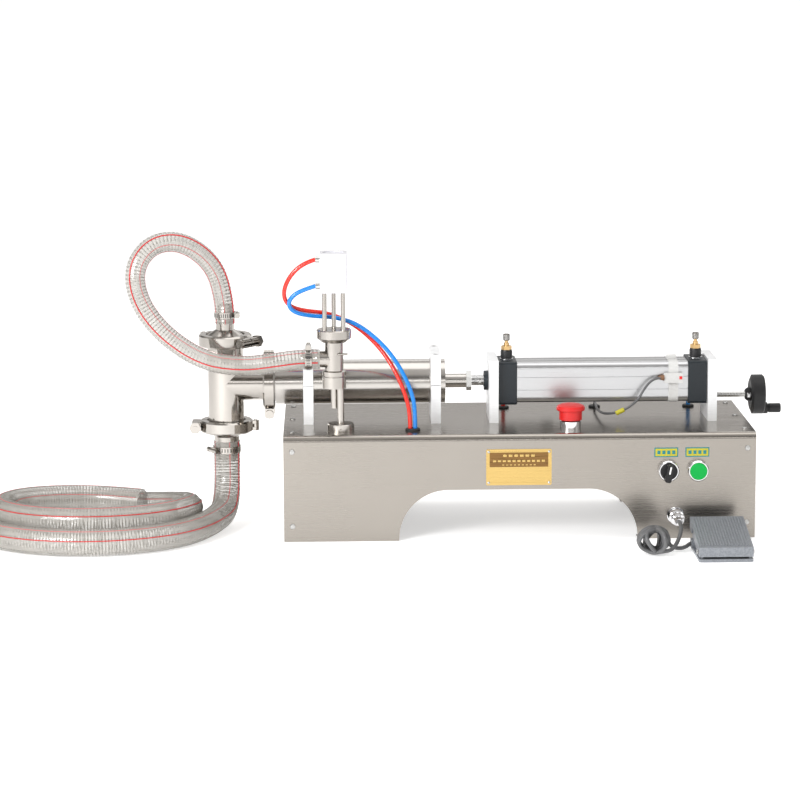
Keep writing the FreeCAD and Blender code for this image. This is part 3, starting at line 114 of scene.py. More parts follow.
def makeWorld():
    world = bpy.data.worlds.new("studio")
    scene.world = world
    world.use_nodes = True
    nodes = world.node_tree.nodes
    links = world.node_tree.links
    direction = nodes.new("ShaderNodeTexCoord")
    split = nodes.new("ShaderNodeSeparateXYZ")
    height = nodes.new("ShaderNodeMapRange")
    height.inputs["From Min"].default_value = -1
    ramp = nodes.new("ShaderNodeValToRGB")
    stops = ramp.color_ramp.elements
    for place, _ in studio["tones"][1:-1]:
        stops.new(place)
    for stop, (place, tone) in zip(stops, studio["tones"]):
        stop.position = place
        stop.color = (*[tone * share for share in studio["tint"]], 1)
    links.new(direction.outputs["Generated"], split.inputs[0])
    links.new(split.outputs["Z"], height.inputs["Value"])
    links.new(height.outputs["Result"], ramp.inputs["Fac"])
    links.new(ramp.outputs["Color"], nodes["Background"].inputs["Color"])
    nodes["Background"].inputs["Strength"].default_value = studio["strength"]


floorLook = {"half": 40, "drop": 0.0005, "colour": (0.93, 0.93, 0.93), "roughness": 0.7,
             "specular": 0.1, "glow": 0.5}


def makeFloor():
    mesh = bpy.data.meshes.new("floor")
    shape = bmesh.new()
    bmesh.ops.create_grid(shape, x_segments=1, y_segments=1, size=floorLook["half"])
    shape.to_mesh(mesh)
    shape.free()
    floor = bpy.data.objects.new("floor", mesh)
    scene.collection.objects.link(floor)
    material = bpy.data.materials.new("paleFloor")
    material.use_nodes = True
    shader = material.node_tree.nodes["Principled BSDF"]
    shader.inputs["Base Color"].default_value = (*floorLook["colour"], 1)
    shader.inputs["Roughness"].default_value = floorLook["roughness"]
    shader.inputs["Specular IOR Level"].default_value = floorLook["specular"]
    shader.inputs["Emission Color"].default_value = (1, 1, 1, 1)
    shader.inputs["Emission Strength"].default_value = floorLook["glow"]
    mesh.materials.append(material)
    floor.location.z = -floorLook["drop"]


makeCamera()
makeLights()
makeWorld()
makeFloor()
print("camera, lights and floor")


# finishes

def insideBox(nodes, links, coordinates, low, high):  # 1 inside a box in the shared frame, 0 outside
    centre = (Vector(low) + Vector(high)) / 2
    half = (Vector(high) - Vector(low)) / 2
    last = coordinates
    for operation, value in (("SUBTRACT", centre), ("ABSOLUTE", None), ("SUBTRACT", half)):
        step = nodes.new("ShaderNodeVectorMath")
        step.operation = operation
        links.new(last, step.inputs[0])
        if value is not None:
            step.inputs[1].default_value = value
        last = step.outputs[0]
    split = nodes.new("ShaderNodeSeparateXYZ")
    links.new(last, split.inputs[0])
    reach = split.outputs["X"]
    for axis in ("Y", "Z"):
        larger = nodes.new("ShaderNodeMath")
        larger.operation = "MAXIMUM"
        links.new(reach, larger.inputs[0])
        links.new(split.outputs[axis], larger.inputs[1])
        reach = larger.outputs[0]
    mask = nodes.new("ShaderNodeMath")
    mask.operation = "LESS_THAN"
    mask.inputs[1].default_value = 0
    links.new(reach, mask.inputs[0])
    return mask.outputs[0]


noiseRange = (0.25, 0.75)  # where nearly all of a noise texture's values lie


def remap(nodes, links, source, low, high):
    node = nodes.new("ShaderNodeMapRange")
    node.inputs["From Min"].default_value = noiseRange[0]
    node.inputs["From Max"].default_value = noiseRange[1]
    node.inputs["To Min"].default_value = low
    node.inputs["To Max"].default_value = high
    links.new(source, node.inputs["Value"])
    return node.outputs["Result"]


def finish(name, colour, roughness, metallic, grain, tone, spread, bump,
           depth=0.0002, stains=0.0, cells=False, zones=(), sockets=None):
    # grain is how many marks a metre holds along each axis, tone and spread are how far
    # the colour and the roughness vary, and stains vary the roughness in larger clouds
    material = bpy.data.materials.new(name)
    material.use_nodes = True
    nodes = material.node_tree.nodes
    links = material.node_tree.links
    shader = nodes["Principled BSDF"]
    coordinates = nodes.new("ShaderNodeTexCoord").outputs["Object"]
    mapping = nodes.new("ShaderNodeMapping")
    mapping.inputs["Scale"].default_value = grain
    links.new(coordinates, mapping.inputs["Vector"])
    pattern = nodes.new("ShaderNodeTexVoronoi" if cells else "ShaderNodeTexNoise")
    pattern.inputs["Scale"].default_value = 1
    pattern.inputs["Detail"].default_value = 0 if cells else 5
    links.new(mapping.outputs["Vector"], pattern.inputs["Vector"])
    marks = pattern.outputs["Distance" if cells else "Fac"]
    ramp = nodes.new("ShaderNodeValToRGB")
    dark, pale = ramp.color_ramp.elements
    dark.position, pale.position = noiseRange
    dark.color = (*[c * (1 - tone) for c in colour], 1)
    pale.color = (*[min(1, c * (1 + tone)) for c in colour], 1)
    links.new(marks, ramp.inputs["Fac"])
    look = ramp.outputs["Color"]
    gloss = remap(nodes, links, marks, roughness - spread, roughness + spread)
    metal = None
    if stains:
        cloud = nodes.new("ShaderNodeTexNoise")
        cloud.inputs["Scale"].default_value = 9
        cloud.inputs["Detail"].default_value = 3
        links.new(coordinates, cloud.inputs["Vector"])
        added = nodes.new("ShaderNodeMath")
        added.operation = "ADD"
        links.new(gloss, added.inputs[0])
        links.new(remap(nodes, links, cloud.outputs["Fac"], -stains, stains), added.inputs[1])
        gloss = added.outputs[0]
    for low, high, zoneColour, zoneMetallic, zoneRoughness in zones:
        mask = insideBox(nodes, links, coordinates, low, high)
        paint = nodes.new("ShaderNodeMix")
        paint.data_type = "RGBA"
        links.new(mask, paint.inputs[0])
        links.new(look, paint.inputs[6])  # 6 and 7 are a colour mix's A and B, 2 and 3 a number mix's
        paint.inputs[7].default_value = (*zoneColour, 1)
        look = paint.outputs[2]
        levels = []
        for source, start, value in ((metal, metallic, zoneMetallic),
                                     (gloss, roughness, zoneRoughness)):
            level = nodes.new("ShaderNodeMix")
            links.new(mask, level.inputs[0])
            level.inputs[2].default_value = start
            level.inputs[3].default_value = value
            if source is not None:
                links.new(source, level.inputs[2])
            levels.append(level.outputs[0])
        metal, gloss = levels
    links.new(look, shader.inputs["Base Color"])
    links.new(gloss, shader.inputs["Roughness"])
    shader.inputs["Metallic"].default_value = metallic
    if metal is not None:
        links.new(metal, shader.inputs["Metallic"])
    if bump:
        relief = nodes.new("ShaderNodeBump")
        relief.inputs["Strength"].default_value = bump
        relief.inputs["Distance"].default_value = depth
        links.new(marks, relief.inputs["Height"])
        links.new(relief.outputs["Normal"], shader.inputs["Normal"])
    for socket, value in (sockets or {}).items():
        shader.inputs[socket].default_value = value
    return material


def zone(low, high, colour, metallic, roughness):  # a box where a finish looks different
    return (at(*low), at(*high), colour, metallic, roughness)


steel = (0.45, 0.425, 0.395)
brass = (0.62, 0.42, 0.2)
nickel = (0.6, 0.59, 0.57)
flowKnobs = {"front_flow_knob": -0.0115, "rear_flow_knob": 0.2595}  # their places along the cylinder
brassZones = [zone((x - 0.008, 0.12, 0.2489), (x + 0.008, 0.14, 0.2586), brass, 1, 0.28)
              for x in flowKnobs.values()]
nickelZones = [zone((-0.285, 0.04, 0.34), (-0.276, 0.06, 0.4), nickel, 1, 0.2),
               zone((0.235, 0.245, 0.08), (0.265, 0.29, 0.12), nickel, 1, 0.2)]
needleZone = zone((-1, -1, 0.2621), (1, 1, 0.5), (0.2, 0.185, 0.17), 1, 0.34)
screwZone = zone((0.339, 0.15, 0.171), (0.345, 0.158, 0.178), (0.6, 0.6, 0.6), 1, 0.2)
blueTubeZone = zone((0.15, -1, 0), (0.35, 1, 1), (0.015, 0.25, 0.68), 0, 0.25)

# each row is colour, roughness, metallic, grain, tone, spread and bump, then what else it has
finishRows = {
    "brushedSteel": ((0.34, 0.315, 0.285), 0.25, 1, (5, 800, 800), 0.05, 0.05, 0.12, {"stains": 0.05}),
    "polishedSteel": (steel, 0.13, 1, (120, 120, 120), 0.03, 0.03, 0.02, {"stains": 0.03}),
    "turnedSteel": (steel, 0.2, 1, (20, 20, 1500), 0.05, 0.06, 0.1, {"stains": 0.03}),
    "tubeSteel": ((0.5, 0.48, 0.455), 0.2, 1, (900, 30, 30), 0.05, 0.05, 0.08, {"stains": 0.04}),
    "milledAluminium": ((0.87, 0.88, 0.89), 0.42, 0.55, (60, 60, 900), 0.05, 0.08, 0.25, {}),
    "anodisedSilver": ((0.56, 0.565, 0.575), 0.3, 1, (4, 700, 700), 0.02, 0.03, 0.04, {}),
    "capBlack": ((0.006, 0.011, 0.016), 0.42, 0, (700, 700, 700), 0.2, 0.06, 0.15, {}),
    "zincSteel": ((0.5, 0.5, 0.49), 0.3, 1, (400, 400, 400), 0.08, 0.08, 0.2, {}),
    "chrome": ((0.72, 0.72, 0.73), 0.07, 1, (200, 200, 200), 0.03, 0.02, 0.02, {"stains": 0.02}),
    "knobBrass": (brass, 0.28, 1, (300, 300, 300), 0.12, 0.08, 0.15, {"zones": [needleZone]}),
    "goldPlate": ((0.6, 0.42, 0.15), 0.3, 0.9, (8, 300, 900), 0.1, 0.08, 0.1, {"stains": 0.06}),
    "fittingBlack": ((0.012, 0.012, 0.014), 0.4, 0, (600, 600, 600), 0.2, 0.06, 0.1,
                     {"zones": brassZones + nickelZones}),
    "blackPlastic": ((0.005, 0.005, 0.006), 0.5, 0, (500, 500, 500), 0.2, 0.08, 0.2, {}),
    "wheelBlack": ((0.004, 0.004, 0.005), 0.52, 0, (700, 700, 700), 0.2, 0.08, 0.3,
                   {"zones": [screwZone]}),
    "blackRubber": ((0.012, 0.012, 0.012), 0.6, 0, (500, 500, 500), 0.2, 0.08, 0.3, {}),
    "sealWhite": ((0.8, 0.79, 0.76), 0.45, 0, (200, 200, 200), 0.03, 0.05, 0.1, {}),
    "liftWhite": ((0.66, 0.66, 0.7), 0.32, 0, (300, 300, 300), 0.02, 0.05, 0.06,
                  {"sockets": {"Coat Weight": 0.2}}),
    "estopRed": ((0.6, 0.01, 0.01), 0.36, 0, (300, 300, 300), 0.06, 0.05, 0.06, {}),
    "startGreen": ((0.0, 0.4, 0.06), 0.4, 0, (200, 200, 200), 0.05, 0.04, 0.04,
                   {"sockets": {"Specular IOR Level": 0.25}}),
    "footGrey": ((0.235, 0.25, 0.275), 0.36, 0.2, (420, 420, 420), 0.14, 0.08, 0.55,
                 {"depth": 0.0004, "cells": True}),
    "sensorGrey": ((0.62, 0.62, 0.61), 0.36, 0, (300, 300, 300), 0.04, 0.05, 0.08, {}),
    "portTube": ((0.72, 0.03, 0.015), 0.25, 0, (200, 200, 200), 0.05, 0.04, 0.04,
                 {"zones": [blueTubeZone]}),
    "redTube": ((0.7, 0.02, 0.008), 0.24, 0, (150, 150, 150), 0.05, 0.04, 0.03,
                {"sockets": {"Coat Weight": 0.3}}),
    "blueTube": ((0.004, 0.2, 0.65), 0.24, 0, (150, 150, 150), 0.05, 0.04, 0.03,
                 {"sockets": {"Coat Weight": 0.3}}),
    "cableGrey": ((0.115, 0.116, 0.12), 0.42, 0, (400, 400, 400), 0.12, 0.07, 0.15, {}),
    "clearHose": ((0.5, 0.48, 0.44), 0.16, 0, (60, 60, 60), 0.08, 0.06, 0.1,
                  {"depth": 0.0004, "sockets": {"Alpha": 0.5, "Coat Weight": 0.6}}),
    "spiralWire": ((0.13, 0.122, 0.11), 0.4, 0, (300, 300, 300), 0.1, 0.08, 0.05, {}),
    "ringGrey": ((0.19, 0.18, 0.16), 0.3, 0, (300, 300, 300), 0.1, 0.08, 0.05, {}),
    "hoseRed": ((0.5, 0.004, 0.008), 0.3, 0, (200, 200, 200), 0.1, 0.05, 0.03, {}),
    "hosePink": ((0.5, 0.08, 0.08), 0.35, 0, (200, 200, 200), 0.1, 0.05, 0.03, {}),
    "labelYellow": ((0.5, 0.45, 0.02), 0.4, 0, (300, 300, 300), 0.05, 0.05, 0.03, {}),
    "labelTeal": ((0.01, 0.2, 0.22), 0.4, 0, (300, 300, 300), 0.05, 0.05, 0.03, {}),
    "plateBrown": ((0.2, 0.105, 0.03), 0.3, 0.6, (20, 400, 400), 0.25, 0.08, 0.1, {}),
    "markWhite": ((0.85, 0.85, 0.84), 0.4, 0, (300, 300, 300), 0.03, 0.05, 0.03, {}),
    "ledRed": ((0.75, 0.02, 0.02), 0.2, 0, (300, 300, 300), 0.1, 0.05, 0.02, {}),
    "bootBrown": ((0.2, 0.1, 0.05), 0.45, 0, (300, 300, 300), 0.15, 0.08, 0.1, {}),
    # the near-black finish for the clip slots is painted shade: it stands for the shadow inside the
    # open slots
    "slotShade": ((0.03, 0.03, 0.03), 0.6, 0, (300, 300, 300), 0.2, 0.08, 0.1, {}),
}
finishes = {name: finish(name, *row[:-1], **row[-1]) for name, row in finishRows.items()}

nodeFinish = {
    "brushedSteel": ["base_shell", "end_panels"],
    "polishedSteel": ["clamp_halves", "clamp_bolts", "tee_body", "hose_clips", "product_piston",
                      "inlet_check_ball", "outlet_check_ball", "check_valve_cages"],
    "turnedSteel": ["nozzle_body", "nozzle_stem", "nozzle_union_nut", "nozzle_standoffs", "support_rod",
                    "rod_flange", "hose_barbs"],
    "tubeSteel": ["product_cylinder", "piston_rod"],
    "milledAluminium": ["tube_clamp_bases", "tube_clamp_caps", "cylinder_brackets"],
    "anodisedSilver": ["cylinder_barrel"],
    "capBlack": ["cylinder_caps"],
    "zincSteel": ["machine_screws", "rod_nuts", "lead_screw", "foot_pins"],
    "chrome": ["air_piston", "operator_bases", "foot_socket", "foot_plug"],
    "knobBrass": ["front_flow_knob", "rear_flow_knob"],
    "goldPlate": ["nameplate"],
    "fittingBlack": ["air_fittings"],
    "blackPlastic": ["crank_grip", "switch_blocks", "solenoid_valve", "selector_knob"],
    "wheelBlack": ["handwheel"],
    "blackRubber": ["grommets"],
    "sealWhite": ["piston_seals", "tee_gaskets"],
    "liftWhite": ["lift_cylinder"],
    "estopRed": ["estop_head"],
    "startGreen": ["start_button"],
    "footGrey": ["foot_base", "foot_pedal"],
    "sensorGrey": ["reed_switch", "reed_carriage"],
    "portTube": ["port_tubes"],
    "redTube": ["red_air_tube"],
    "blueTube": ["blue_air_tube"],
    "cableGrey": ["reed_cable", "foot_cable", "foot_cable_hank"],
    "clearHose": ["transfer_hose", "suction_hose", "suction_hose_coil"],
}


def coverNodes():
    for name, nodes in nodeFinish.items():
        for node in nodes:
            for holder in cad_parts[node].material_slots:
                holder.material = finishes[name]


coverNodes()
print("finishes on the CAD nodes")


# helpers for new pieces

def addPiece(name, mesh, finishName, body="machine"):
    piece = bpy.data.objects.new(name, mesh)
    scene.collection.objects.link(piece)
    mesh.materials.append(finishes[finishName])
    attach(piece, body)
    return piece


def shapePiece(name, shape, finishName, body="machine", sharp=35):
    bmesh.ops.recalc_face_normals(shape, faces=shape.faces)
    mesh = bpy.data.meshes.new(name)
    shape.to_mesh(mesh)
    shape.free()
    mesh.shade_smooth()
    mesh.set_sharp_from_angle(angle=math.radians(sharp))
    return addPiece(name, mesh, finishName, body)


def addBlock(shape, centre, size, bevel=0.0, turn=None):
    place = Matrix.Translation(centre) @ (turn or Matrix.Identity(4)) @ Matrix.Diagonal((*size, 1))
    verts = bmesh.ops.create_cube(shape, size=1, matrix=place)["verts"]
    if bevel:
        edges = list({edge for vert in verts for edge in vert.link_edges})
        bmesh.ops.bevel(shape, geom=edges, offset=bevel, segments=2, profile=0.5,
                        affect="EDGES", material=-1)


def addTurned(shape, profile, start, axis, steps=40):  # profile is (radius, distance) points
    stand = standAlong(start, axis)
    verts = [shape.verts.new(stand @ Vector((radius, 0, along))) for radius, along in profile]
    edges = [shape.edges.new(pair) for pair in zip(verts, verts[1:])]
    bmesh.ops.spin(shape, geom=verts + edges, cent=start, axis=axis, dvec=(0, 0, 0),
                   angle=2 * math.pi, steps=steps, use_merge=True)
    bmesh.ops.remove_doubles(shape, verts=shape.verts, dist=1e-6)


def addThread(shape, start, axis, length, core, crest, pitch, steps=14):
    # a helical ridge whose root lies inside its core
    stand = standAlong(start, axis)
    root = core - 0.3 * (crest - core)
    outline = [(root, -0.42), (crest, -0.1), (crest, 0.1), (root, 0.42)]
    verts = [shape.verts.new(stand @ Vector((radius, 0, pitch * (0.5 + share))))
             for radius, share in outline]
    face = shape.faces.new(verts)
    turns = int(length / pitch) - 1
    bmesh.ops.spin(shape, geom=[face], cent=start, axis=axis, dvec=axis * (pitch / steps),
                   angle=2 * math.pi * turns, steps=turns * steps, use_merge=False)


# cords and hoses

def routeCord(name, route, radius, finishName):
    curve = bpy.data.curves.new(name, "CURVE")
    curve.dimensions = "3D"
    spline = curve.splines.new("NURBS")
    spline.points.add(len(route) - 1)
    for point, place in zip(spline.points, route):
        point.co = (*at(*place), 1)
    spline.order_u = 3
    spline.use_endpoint_u = True
    spline.resolution_u = 10
    curve.bevel_depth = radius
    curve.bevel_resolution = 6
    curve.use_fill_caps = True
    return addPiece(name, curve, finishName)


def framesAlong(cord, step, side):
    # evenly spaced places on a cord's centreline, each with its tangent and two directions across it
    bare = cord.data.copy()
    bare.bevel_depth = 0
    probe = bpy.data.objects.new("probe", bare)
    mesh = bpy.data.meshes.new_from_object(probe)
    line = [vert.co.copy() for vert in mesh.vertices]
    bpy.data.objects.remove(probe)
    bpy.data.meshes.remove(mesh)
    bpy.data.curves.remove(bare)
    lengths = [0.0]
    for before, after in zip(line, line[1:]):
        lengths.append(lengths[-1] + (after - before).length)
    places = []
    along = 0.0
    i = 0
    while along < lengths[-1]:
        while lengths[i + 1] < along:
            i += 1
        share = (along - lengths[i]) / (lengths[i + 1] - lengths[i])
        places.append(line[i].lerp(line[i + 1], share))
        along += step
    frames = []
    across = Vector(side)
    for k, place in enumerate(places):
        tangent = (places[min(k + 1, len(places) - 1)] - places[max(k - 1, 0)]).normalized()
        across = (across - tangent * across.dot(tangent)).normalized()
        frames.append((place, tangent, across, tangent.cross(across)))
    return frames


def lineCurve(name, points, radius, finishName, resolution=0):
    curve = bpy.data.curves.new(name, "CURVE")
    curve.dimensions = "3D"
    spline = curve.splines.new("POLY")
    spline.points.add(len(points) - 1)
    for point, place in zip(spline.points, points):
        point.co = (*place, 1)
    curve.bevel_depth = radius
    curve.bevel_resolution = resolution
    curve.use_fill_caps = True
    return addPiece(name, curve, finishName)


def windSpiral(name, cord, radius, pitch, wire, finishName, perTurn=12):
    frames = framesAlong(cord, pitch / perTurn, yAxis)
    points = []
    for k, (place, _, across, beside) in enumerate(frames):
        angle = 2 * math.pi * k / perTurn
        points.append(place + radius * (math.cos(angle) * across + math.sin(angle) * beside))
    return lineCurve(name, points, wire, finishName)


def drawStripe(name, cord, radius, angle, width, finishName, side, step=0.006):
    turn = math.radians(angle)
    points = [place + radius * (math.cos(turn) * across + math.sin(turn) * beside)
              for place, _, across, beside in framesAlong(cord, step, side)]
    return lineCurve(name, points, width, finishName, 2)


def dressHose(name, hose, size, side):  # its wire spiral just under the surface, and its stripes
    radius = size["diameter"] / 2
    dress = [windSpiral(name + "Spiral", hose, radius - size["sunk"], size["pitch"], size["wire"],
                        size["wireFinish"])]
    for ending, proud, angle, width, finishName in size["stripes"]:
        dress.append(drawStripe(name + ending, hose, radius + proud, angle, width, finishName, side))
    return dress


def transferHose():
    size = {
        "diameter": 0.028, "pitch": 0.005, "wire": 0.0006, "sunk": 0.0003, "wireFinish": "spiralWire",
        # each stripe is its name's ending, height over the surface, angle, half width and finish
        "stripes": [("Stripe", 0.0001, -24, 0.0009, "hoseRed"),
                    ("Line", -0.0003, -86, 0.0005, "hosePink"),
                    ("LineInner", -0.0003, -150, 0.0005, "hosePink")],
    }
    route = [(-0.413, 0.130, 0.2905), (-0.413, 0.130, 0.322), (-0.427, 0.125, 0.376),
             (-0.470, 0.114, 0.411), (-0.514, 0.104, 0.409), (-0.540, 0.094, 0.374),
             (-0.532, 0.088, 0.326), (-0.497, 0.079, 0.281), (-0.442, 0.066, 0.246),
             (-0.385, 0.057, 0.239), (-0.337, 0.051, 0.246), (-0.306, 0.050, 0.2505),
             (-0.278, 0.050, 0.2505)]
    hose = routeCord("transferHose", route, size["diameter"] / 2, "clearHose")
    dress = dressHose("transferHose", hose, size, xAxis)
    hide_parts("transfer_hose")


def blendKnots(knots, place):  # reads a value off a list of (place, value) knots
    for (before, low), (after, high) in zip(knots, knots[1:]):
        if place <= after:
            share = max(0.0, (place - before) / (after - before))
            return low + (high - low) * share * share * (3 - 2 * share)
    return knots[-1][1]


def suctionHose():
    size = {
        "diameter": 0.038, "pitch": 0.0044, "wire": 0.0008, "sunk": 0.0003, "wireFinish": "ringGrey",
        "stripes": [("Stripe", 0.0001, -62, 0.0007, "hoseRed"),
                    ("Line", -0.0003, 62, 0.0005, "hosePink"),
                    ("LineInner", -0.0003, -15, 0.0005, "hosePink")],
        "centre": (-0.598, 0.052), "half": (0.164, 0.128),
        "start": 8, "turns": 1.88, "perTurn": 15,
        "wobble": 0.012, "wobbleRate": 2.7,
    }
    # how far the coil is drawn in, and how high it lies, after so many turns
    inward = [(0, 0.0), (0.5, 0.0), (1.1, 0.030), (1.45, 0.032), (1.9, 0.052)]
    height = [(0, 0.021), (0.15, 0.0195), (0.78, 0.0195), (1.08, 0.0425), (1.5, 0.0425), (1.9, 0.034)]
    route = [(-0.413, 0.130, 0.1205), (-0.413, 0.130, 0.079), (-0.413, 0.119, 0.048),
             (-0.416, 0.097, 0.028), (-0.422, 0.072, 0.0225)]
    for i in range(1, int(size["turns"] * size["perTurn"]) + 1):
        done = i / size["perTurn"]
        angle = math.radians(size["start"]) - 2 * math.pi * done
        drawnIn = blendKnots(inward, done)
        wobble = 1 + size["wobble"] * math.sin(size["wobbleRate"] * angle)
        route.append((size["centre"][0] + (size["half"][0] - drawnIn) * wobble * math.cos(angle),
                      size["centre"][1] + (size["half"][1] - drawnIn) * wobble * math.sin(angle),
                      blendKnots(height, done)))
    hose = routeCord("suctionHose", route, size["diameter"] / 2, "clearHose")
    dress = dressHose("suctionHose", hose, size, -yAxis)
    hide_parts("suction_hose", "suction_hose_coil")


def airTubes():
    size = {"diameter": 0.006}
    red = [(-0.283, 0.050, 0.391), (-0.300, 0.050, 0.386), (-0.320, 0.051, 0.367),
           (-0.329, 0.054, 0.343), (-0.322, 0.060, 0.325), (-0.301, 0.071, 0.316),
           (-0.264, 0.083, 0.311), (-0.226, 0.082, 0.293), (-0.192, 0.069, 0.262),
           (-0.169, 0.052, 0.227), (-0.155, 0.040, 0.190), (-0.152, 0.038, 0.166),
           (-0.152, 0.038, 0.150)]
    blue = [(-0.283, 0.050, 0.354), (-0.299, 0.050, 0.349), (-0.313, 0.050, 0.342),
            (-0.321, 0.052, 0.332), (-0.319, 0.055, 0.321), (-0.307, 0.061, 0.313),
            (-0.284, 0.071, 0.308), (-0.256, 0.076, 0.306), (-0.223, 0.074, 0.296),
            (-0.186, 0.062, 0.266), (-0.162, 0.049, 0.232), (-0.147, 0.041, 0.196),
            (-0.145, 0.038, 0.168), (-0.145, 0.038, 0.150)]
    for name, node, slot, route, length in (("redTube", "red_air_tube", "red_tube", red, 0.365),
                                            ("blueTube", "blue_air_tube", "blue_tube", blue, 0.335)):
        tube = routeCord(name, route, size["diameter"] / 2, name)
        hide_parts(node)


def reedCable():
    size = {"diameter": 0.0035, "step": 0.001, "tagStart": 0.077, "tagLength": 0.013,
            "tagRadius": 0.0033, "tagHole": 0.0016, "edge": 0.0005, "edgeLength": 0.0006}
    route = [(0.211, 0.095, 0.212), (0.203, 0.0935, 0.212), (0.192, 0.090, 0.209),
             (0.182, 0.086, 0.198), (0.174, 0.084, 0.184), (0.163, 0.082, 0.174),
             (0.150, 0.082, 0.167), (0.139, 0.086, 0.163), (0.128, 0.098, 0.160),
             (0.123, 0.122, 0.158), (0.121, 0.156, 0.157), (0.122, 0.184, 0.158),
             (0.122, 0.198, 0.160), (0.122, 0.205, 0.157), (0.122, 0.205, 0.148)]
    cable = routeCord("reedCable", route, size["diameter"] / 2, "cableGrey")
    frames = framesAlong(cable, size["step"], zAxis)
    place, tangent, _, _ = frames[int(size["tagStart"] / size["step"])]
    shape = bmesh.new()
    profile = [(size["tagHole"], 0),
               (size["tagRadius"] - size["edge"], 0),
               (size["tagRadius"], size["edgeLength"]),
               (size["tagRadius"], size["tagLength"] - size["edgeLength"]),
               (size["tagRadius"] - size["edge"], size["tagLength"]),
               (size["tagHole"], size["tagLength"])]
    addTurned(shape, profile, place, tangent, 24)
    tag = shapePiece("reedCableTag", shape, "labelYellow")
    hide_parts("reed_cable")


def footCable():
    size = {"diameter": 0.0055, "centre": 0.178, "first": -0.107, "pitch": 0.0032, "turns": 8.83,
            "perTurn": 12, "start": -60, "half": (0.0215, 0.0155), "middle": 0.0197, "fan": 1.2}
    route = [(0.218, -0.045, 0.033), (0.219, -0.060, 0.0315), (0.216, -0.078, 0.025),
             (0.209, -0.096, 0.015), (0.200, -0.112, 0.009)]
    # no two turns of the hank are alike: each leans and swells a little differently
    for i in range(int(size["turns"] * size["perTurn"]) + 1):
        done = i / size["perTurn"]
        angle = math.radians(size["start"]) - 2 * math.pi * done
        fan = size["fan"] * math.sin(2.1 * done + 0.4)
        reach = size["half"][0] * (1 + 0.07 * math.sin(1.7 * done)) * math.cos(angle)
        rise = size["half"][1] * (1 + 0.05 * math.sin(2.9 * done)) * math.sin(angle)
        route.append((size["centre"] + reach * math.cos(fan) + 0.3 * rise * math.sin(fan),
                      size["first"] + size["pitch"] * done - reach * math.sin(fan),
                      size["middle"] + rise + 0.12 * reach * math.sin(fan)))
    route += [(0.1995, -0.073, 0.010), (0.206, -0.077, 0.0045), (0.216, -0.079, 0.0036),
              (0.224, -0.077, 0.0055), (0.2295, -0.073, 0.009), (0.2345, -0.071, 0.010)]
    cable = routeCord("footCable", route, size["diameter"] / 2, "cableGrey")
    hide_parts("foot_cable", "foot_cable_hank")


transferHose()
suctionHose()
airTubes()
reedCable()
footCable()
print("hoses, tubes and cables")


# pieces on the base

def nameplateMarks():
    size = {"left": -0.0474, "right": 0.0439, "low": 0.0783, "high": 0.1293, "face": -0.0010}
    width = size["right"] - size["left"]
    middle = (size["left"] + size["right"]) / 2
    panel = bmesh.new()
    addBlock(panel, at(middle, size["face"] - 0.0001, 0.1145), (width - 0.0095, 0.0002, 0.0205))
    shapePiece("nameplatePanel", panel, "plateBrown")
    marks = bmesh.new()
    rows = [(0.1205, 6, 0.0050, 0.0036, 0.0078), (0.1128, 11, 0.0043, 0.0030, 0.0068),
            (0.1072, 9, 0.0030, 0.0013, 0.0055)]
    for height, count, wide, tall, step in rows:
        for i in range(count):
            x = middle + (i - (count - 1) / 2) * step
            addBlock(marks, at(x, size["face"] - 0.00035, height), (wide, 0.0003, tall), 0.0001)
    shapePiece("nameplateMarks", marks, "goldPlate")
    rivets = bmesh.new()
    for x in (size["left"] + 0.0035, size["right"] - 0.0035):
        for z in (size["low"] + 0.0035, size["high"] - 0.0035):
            addTurned(rivets, [(0, 0), (0.0019, 0), (0.0018, 0.0007), (0.0012, 0.0013), (0, 0.0016)],
                      at(x, size["face"], z), -yAxis, 20)
    shapePiece("nameplateRivets", rivets, "zincSteel")


def operatorLabels():
    size = {"wide": 0.0333, "tall": 0.0134, "thick": 0.0004, "height": 0.1228,
            "centres": (0.2041, 0.2476)}
    borders = bmesh.new()
    fields = bmesh.new()
    marks = bmesh.new()
    for x in size["centres"]:
        addBlock(borders, at(x, -size["thick"] / 2, size["height"]),
                 (size["wide"], size["thick"], size["tall"]))
        addBlock(fields, at(x, -size["thick"] - 0.0001, size["height"]),
                 (size["wide"] - 0.003, 0.0002, size["tall"] - 0.003))
        for i in range(4):
            addBlock(marks, at(x + (i - 1.5) * 0.0069, -size["thick"] - 0.0003, size["height"]),
                     (0.0044, 0.0002, 0.0052), 0.00005)
    shapePiece("labelBorders", borders, "labelTeal")
    shapePiece("labelFields", fields, "labelYellow")
    shapePiece("labelMarks", marks, "labelTeal")


def selectorMark():
    size = {"centre": (0.2071, 0.0973), "face": -0.0221, "long": 0.0105, "wide": 0.0021,
            "angle": 258, "back": 0.0035}
    turn = Matrix.Rotation(-math.radians(size["angle"]), 4, "Y")
    shape = bmesh.new()
    middle = at(size["centre"][0], size["face"], size["centre"][1])
    middle += turn @ Vector((-size["back"], 0, 0))
    addBlock(shape, middle, (size["long"], 0.0004, size["wide"]), 0.0001, turn)
    shapePiece("selectorMark", shape, "markWhite", "selector_knob")


def clipSlotShade():
    # thin near-black boxes set on each hose clip where its slots are: painted shade for the shadow
    # inside the open slots
    size = {"count": 30, "long": 0.0055, "wide": 0.0012, "proud": 0.00012}
    shape = bmesh.new()
    clips = [(at(-0.413, 0.130, 0.3025), zAxis, 0.0150),
             (at(-0.413, 0.130, 0.1085), zAxis, 0.0200),
             (at(-0.294, 0.050, 0.2505), xAxis, 0.0150)]
    for centre, axis, radius in clips:
        stand = standAlong(centre, axis)
        for i in range(size["count"]):
            turn = Matrix.Rotation(2 * math.pi * i / size["count"], 4, "Z")
            spot = stand @ turn @ Matrix.Translation((radius, 0, 0))
            bmesh.ops.create_cube(shape, size=1, matrix=spot @ Matrix.Diagonal(
                (2 * size["proud"], size["wide"], size["long"], 1)))
    shapePiece("clipSlotShade", shape, "slotShade")


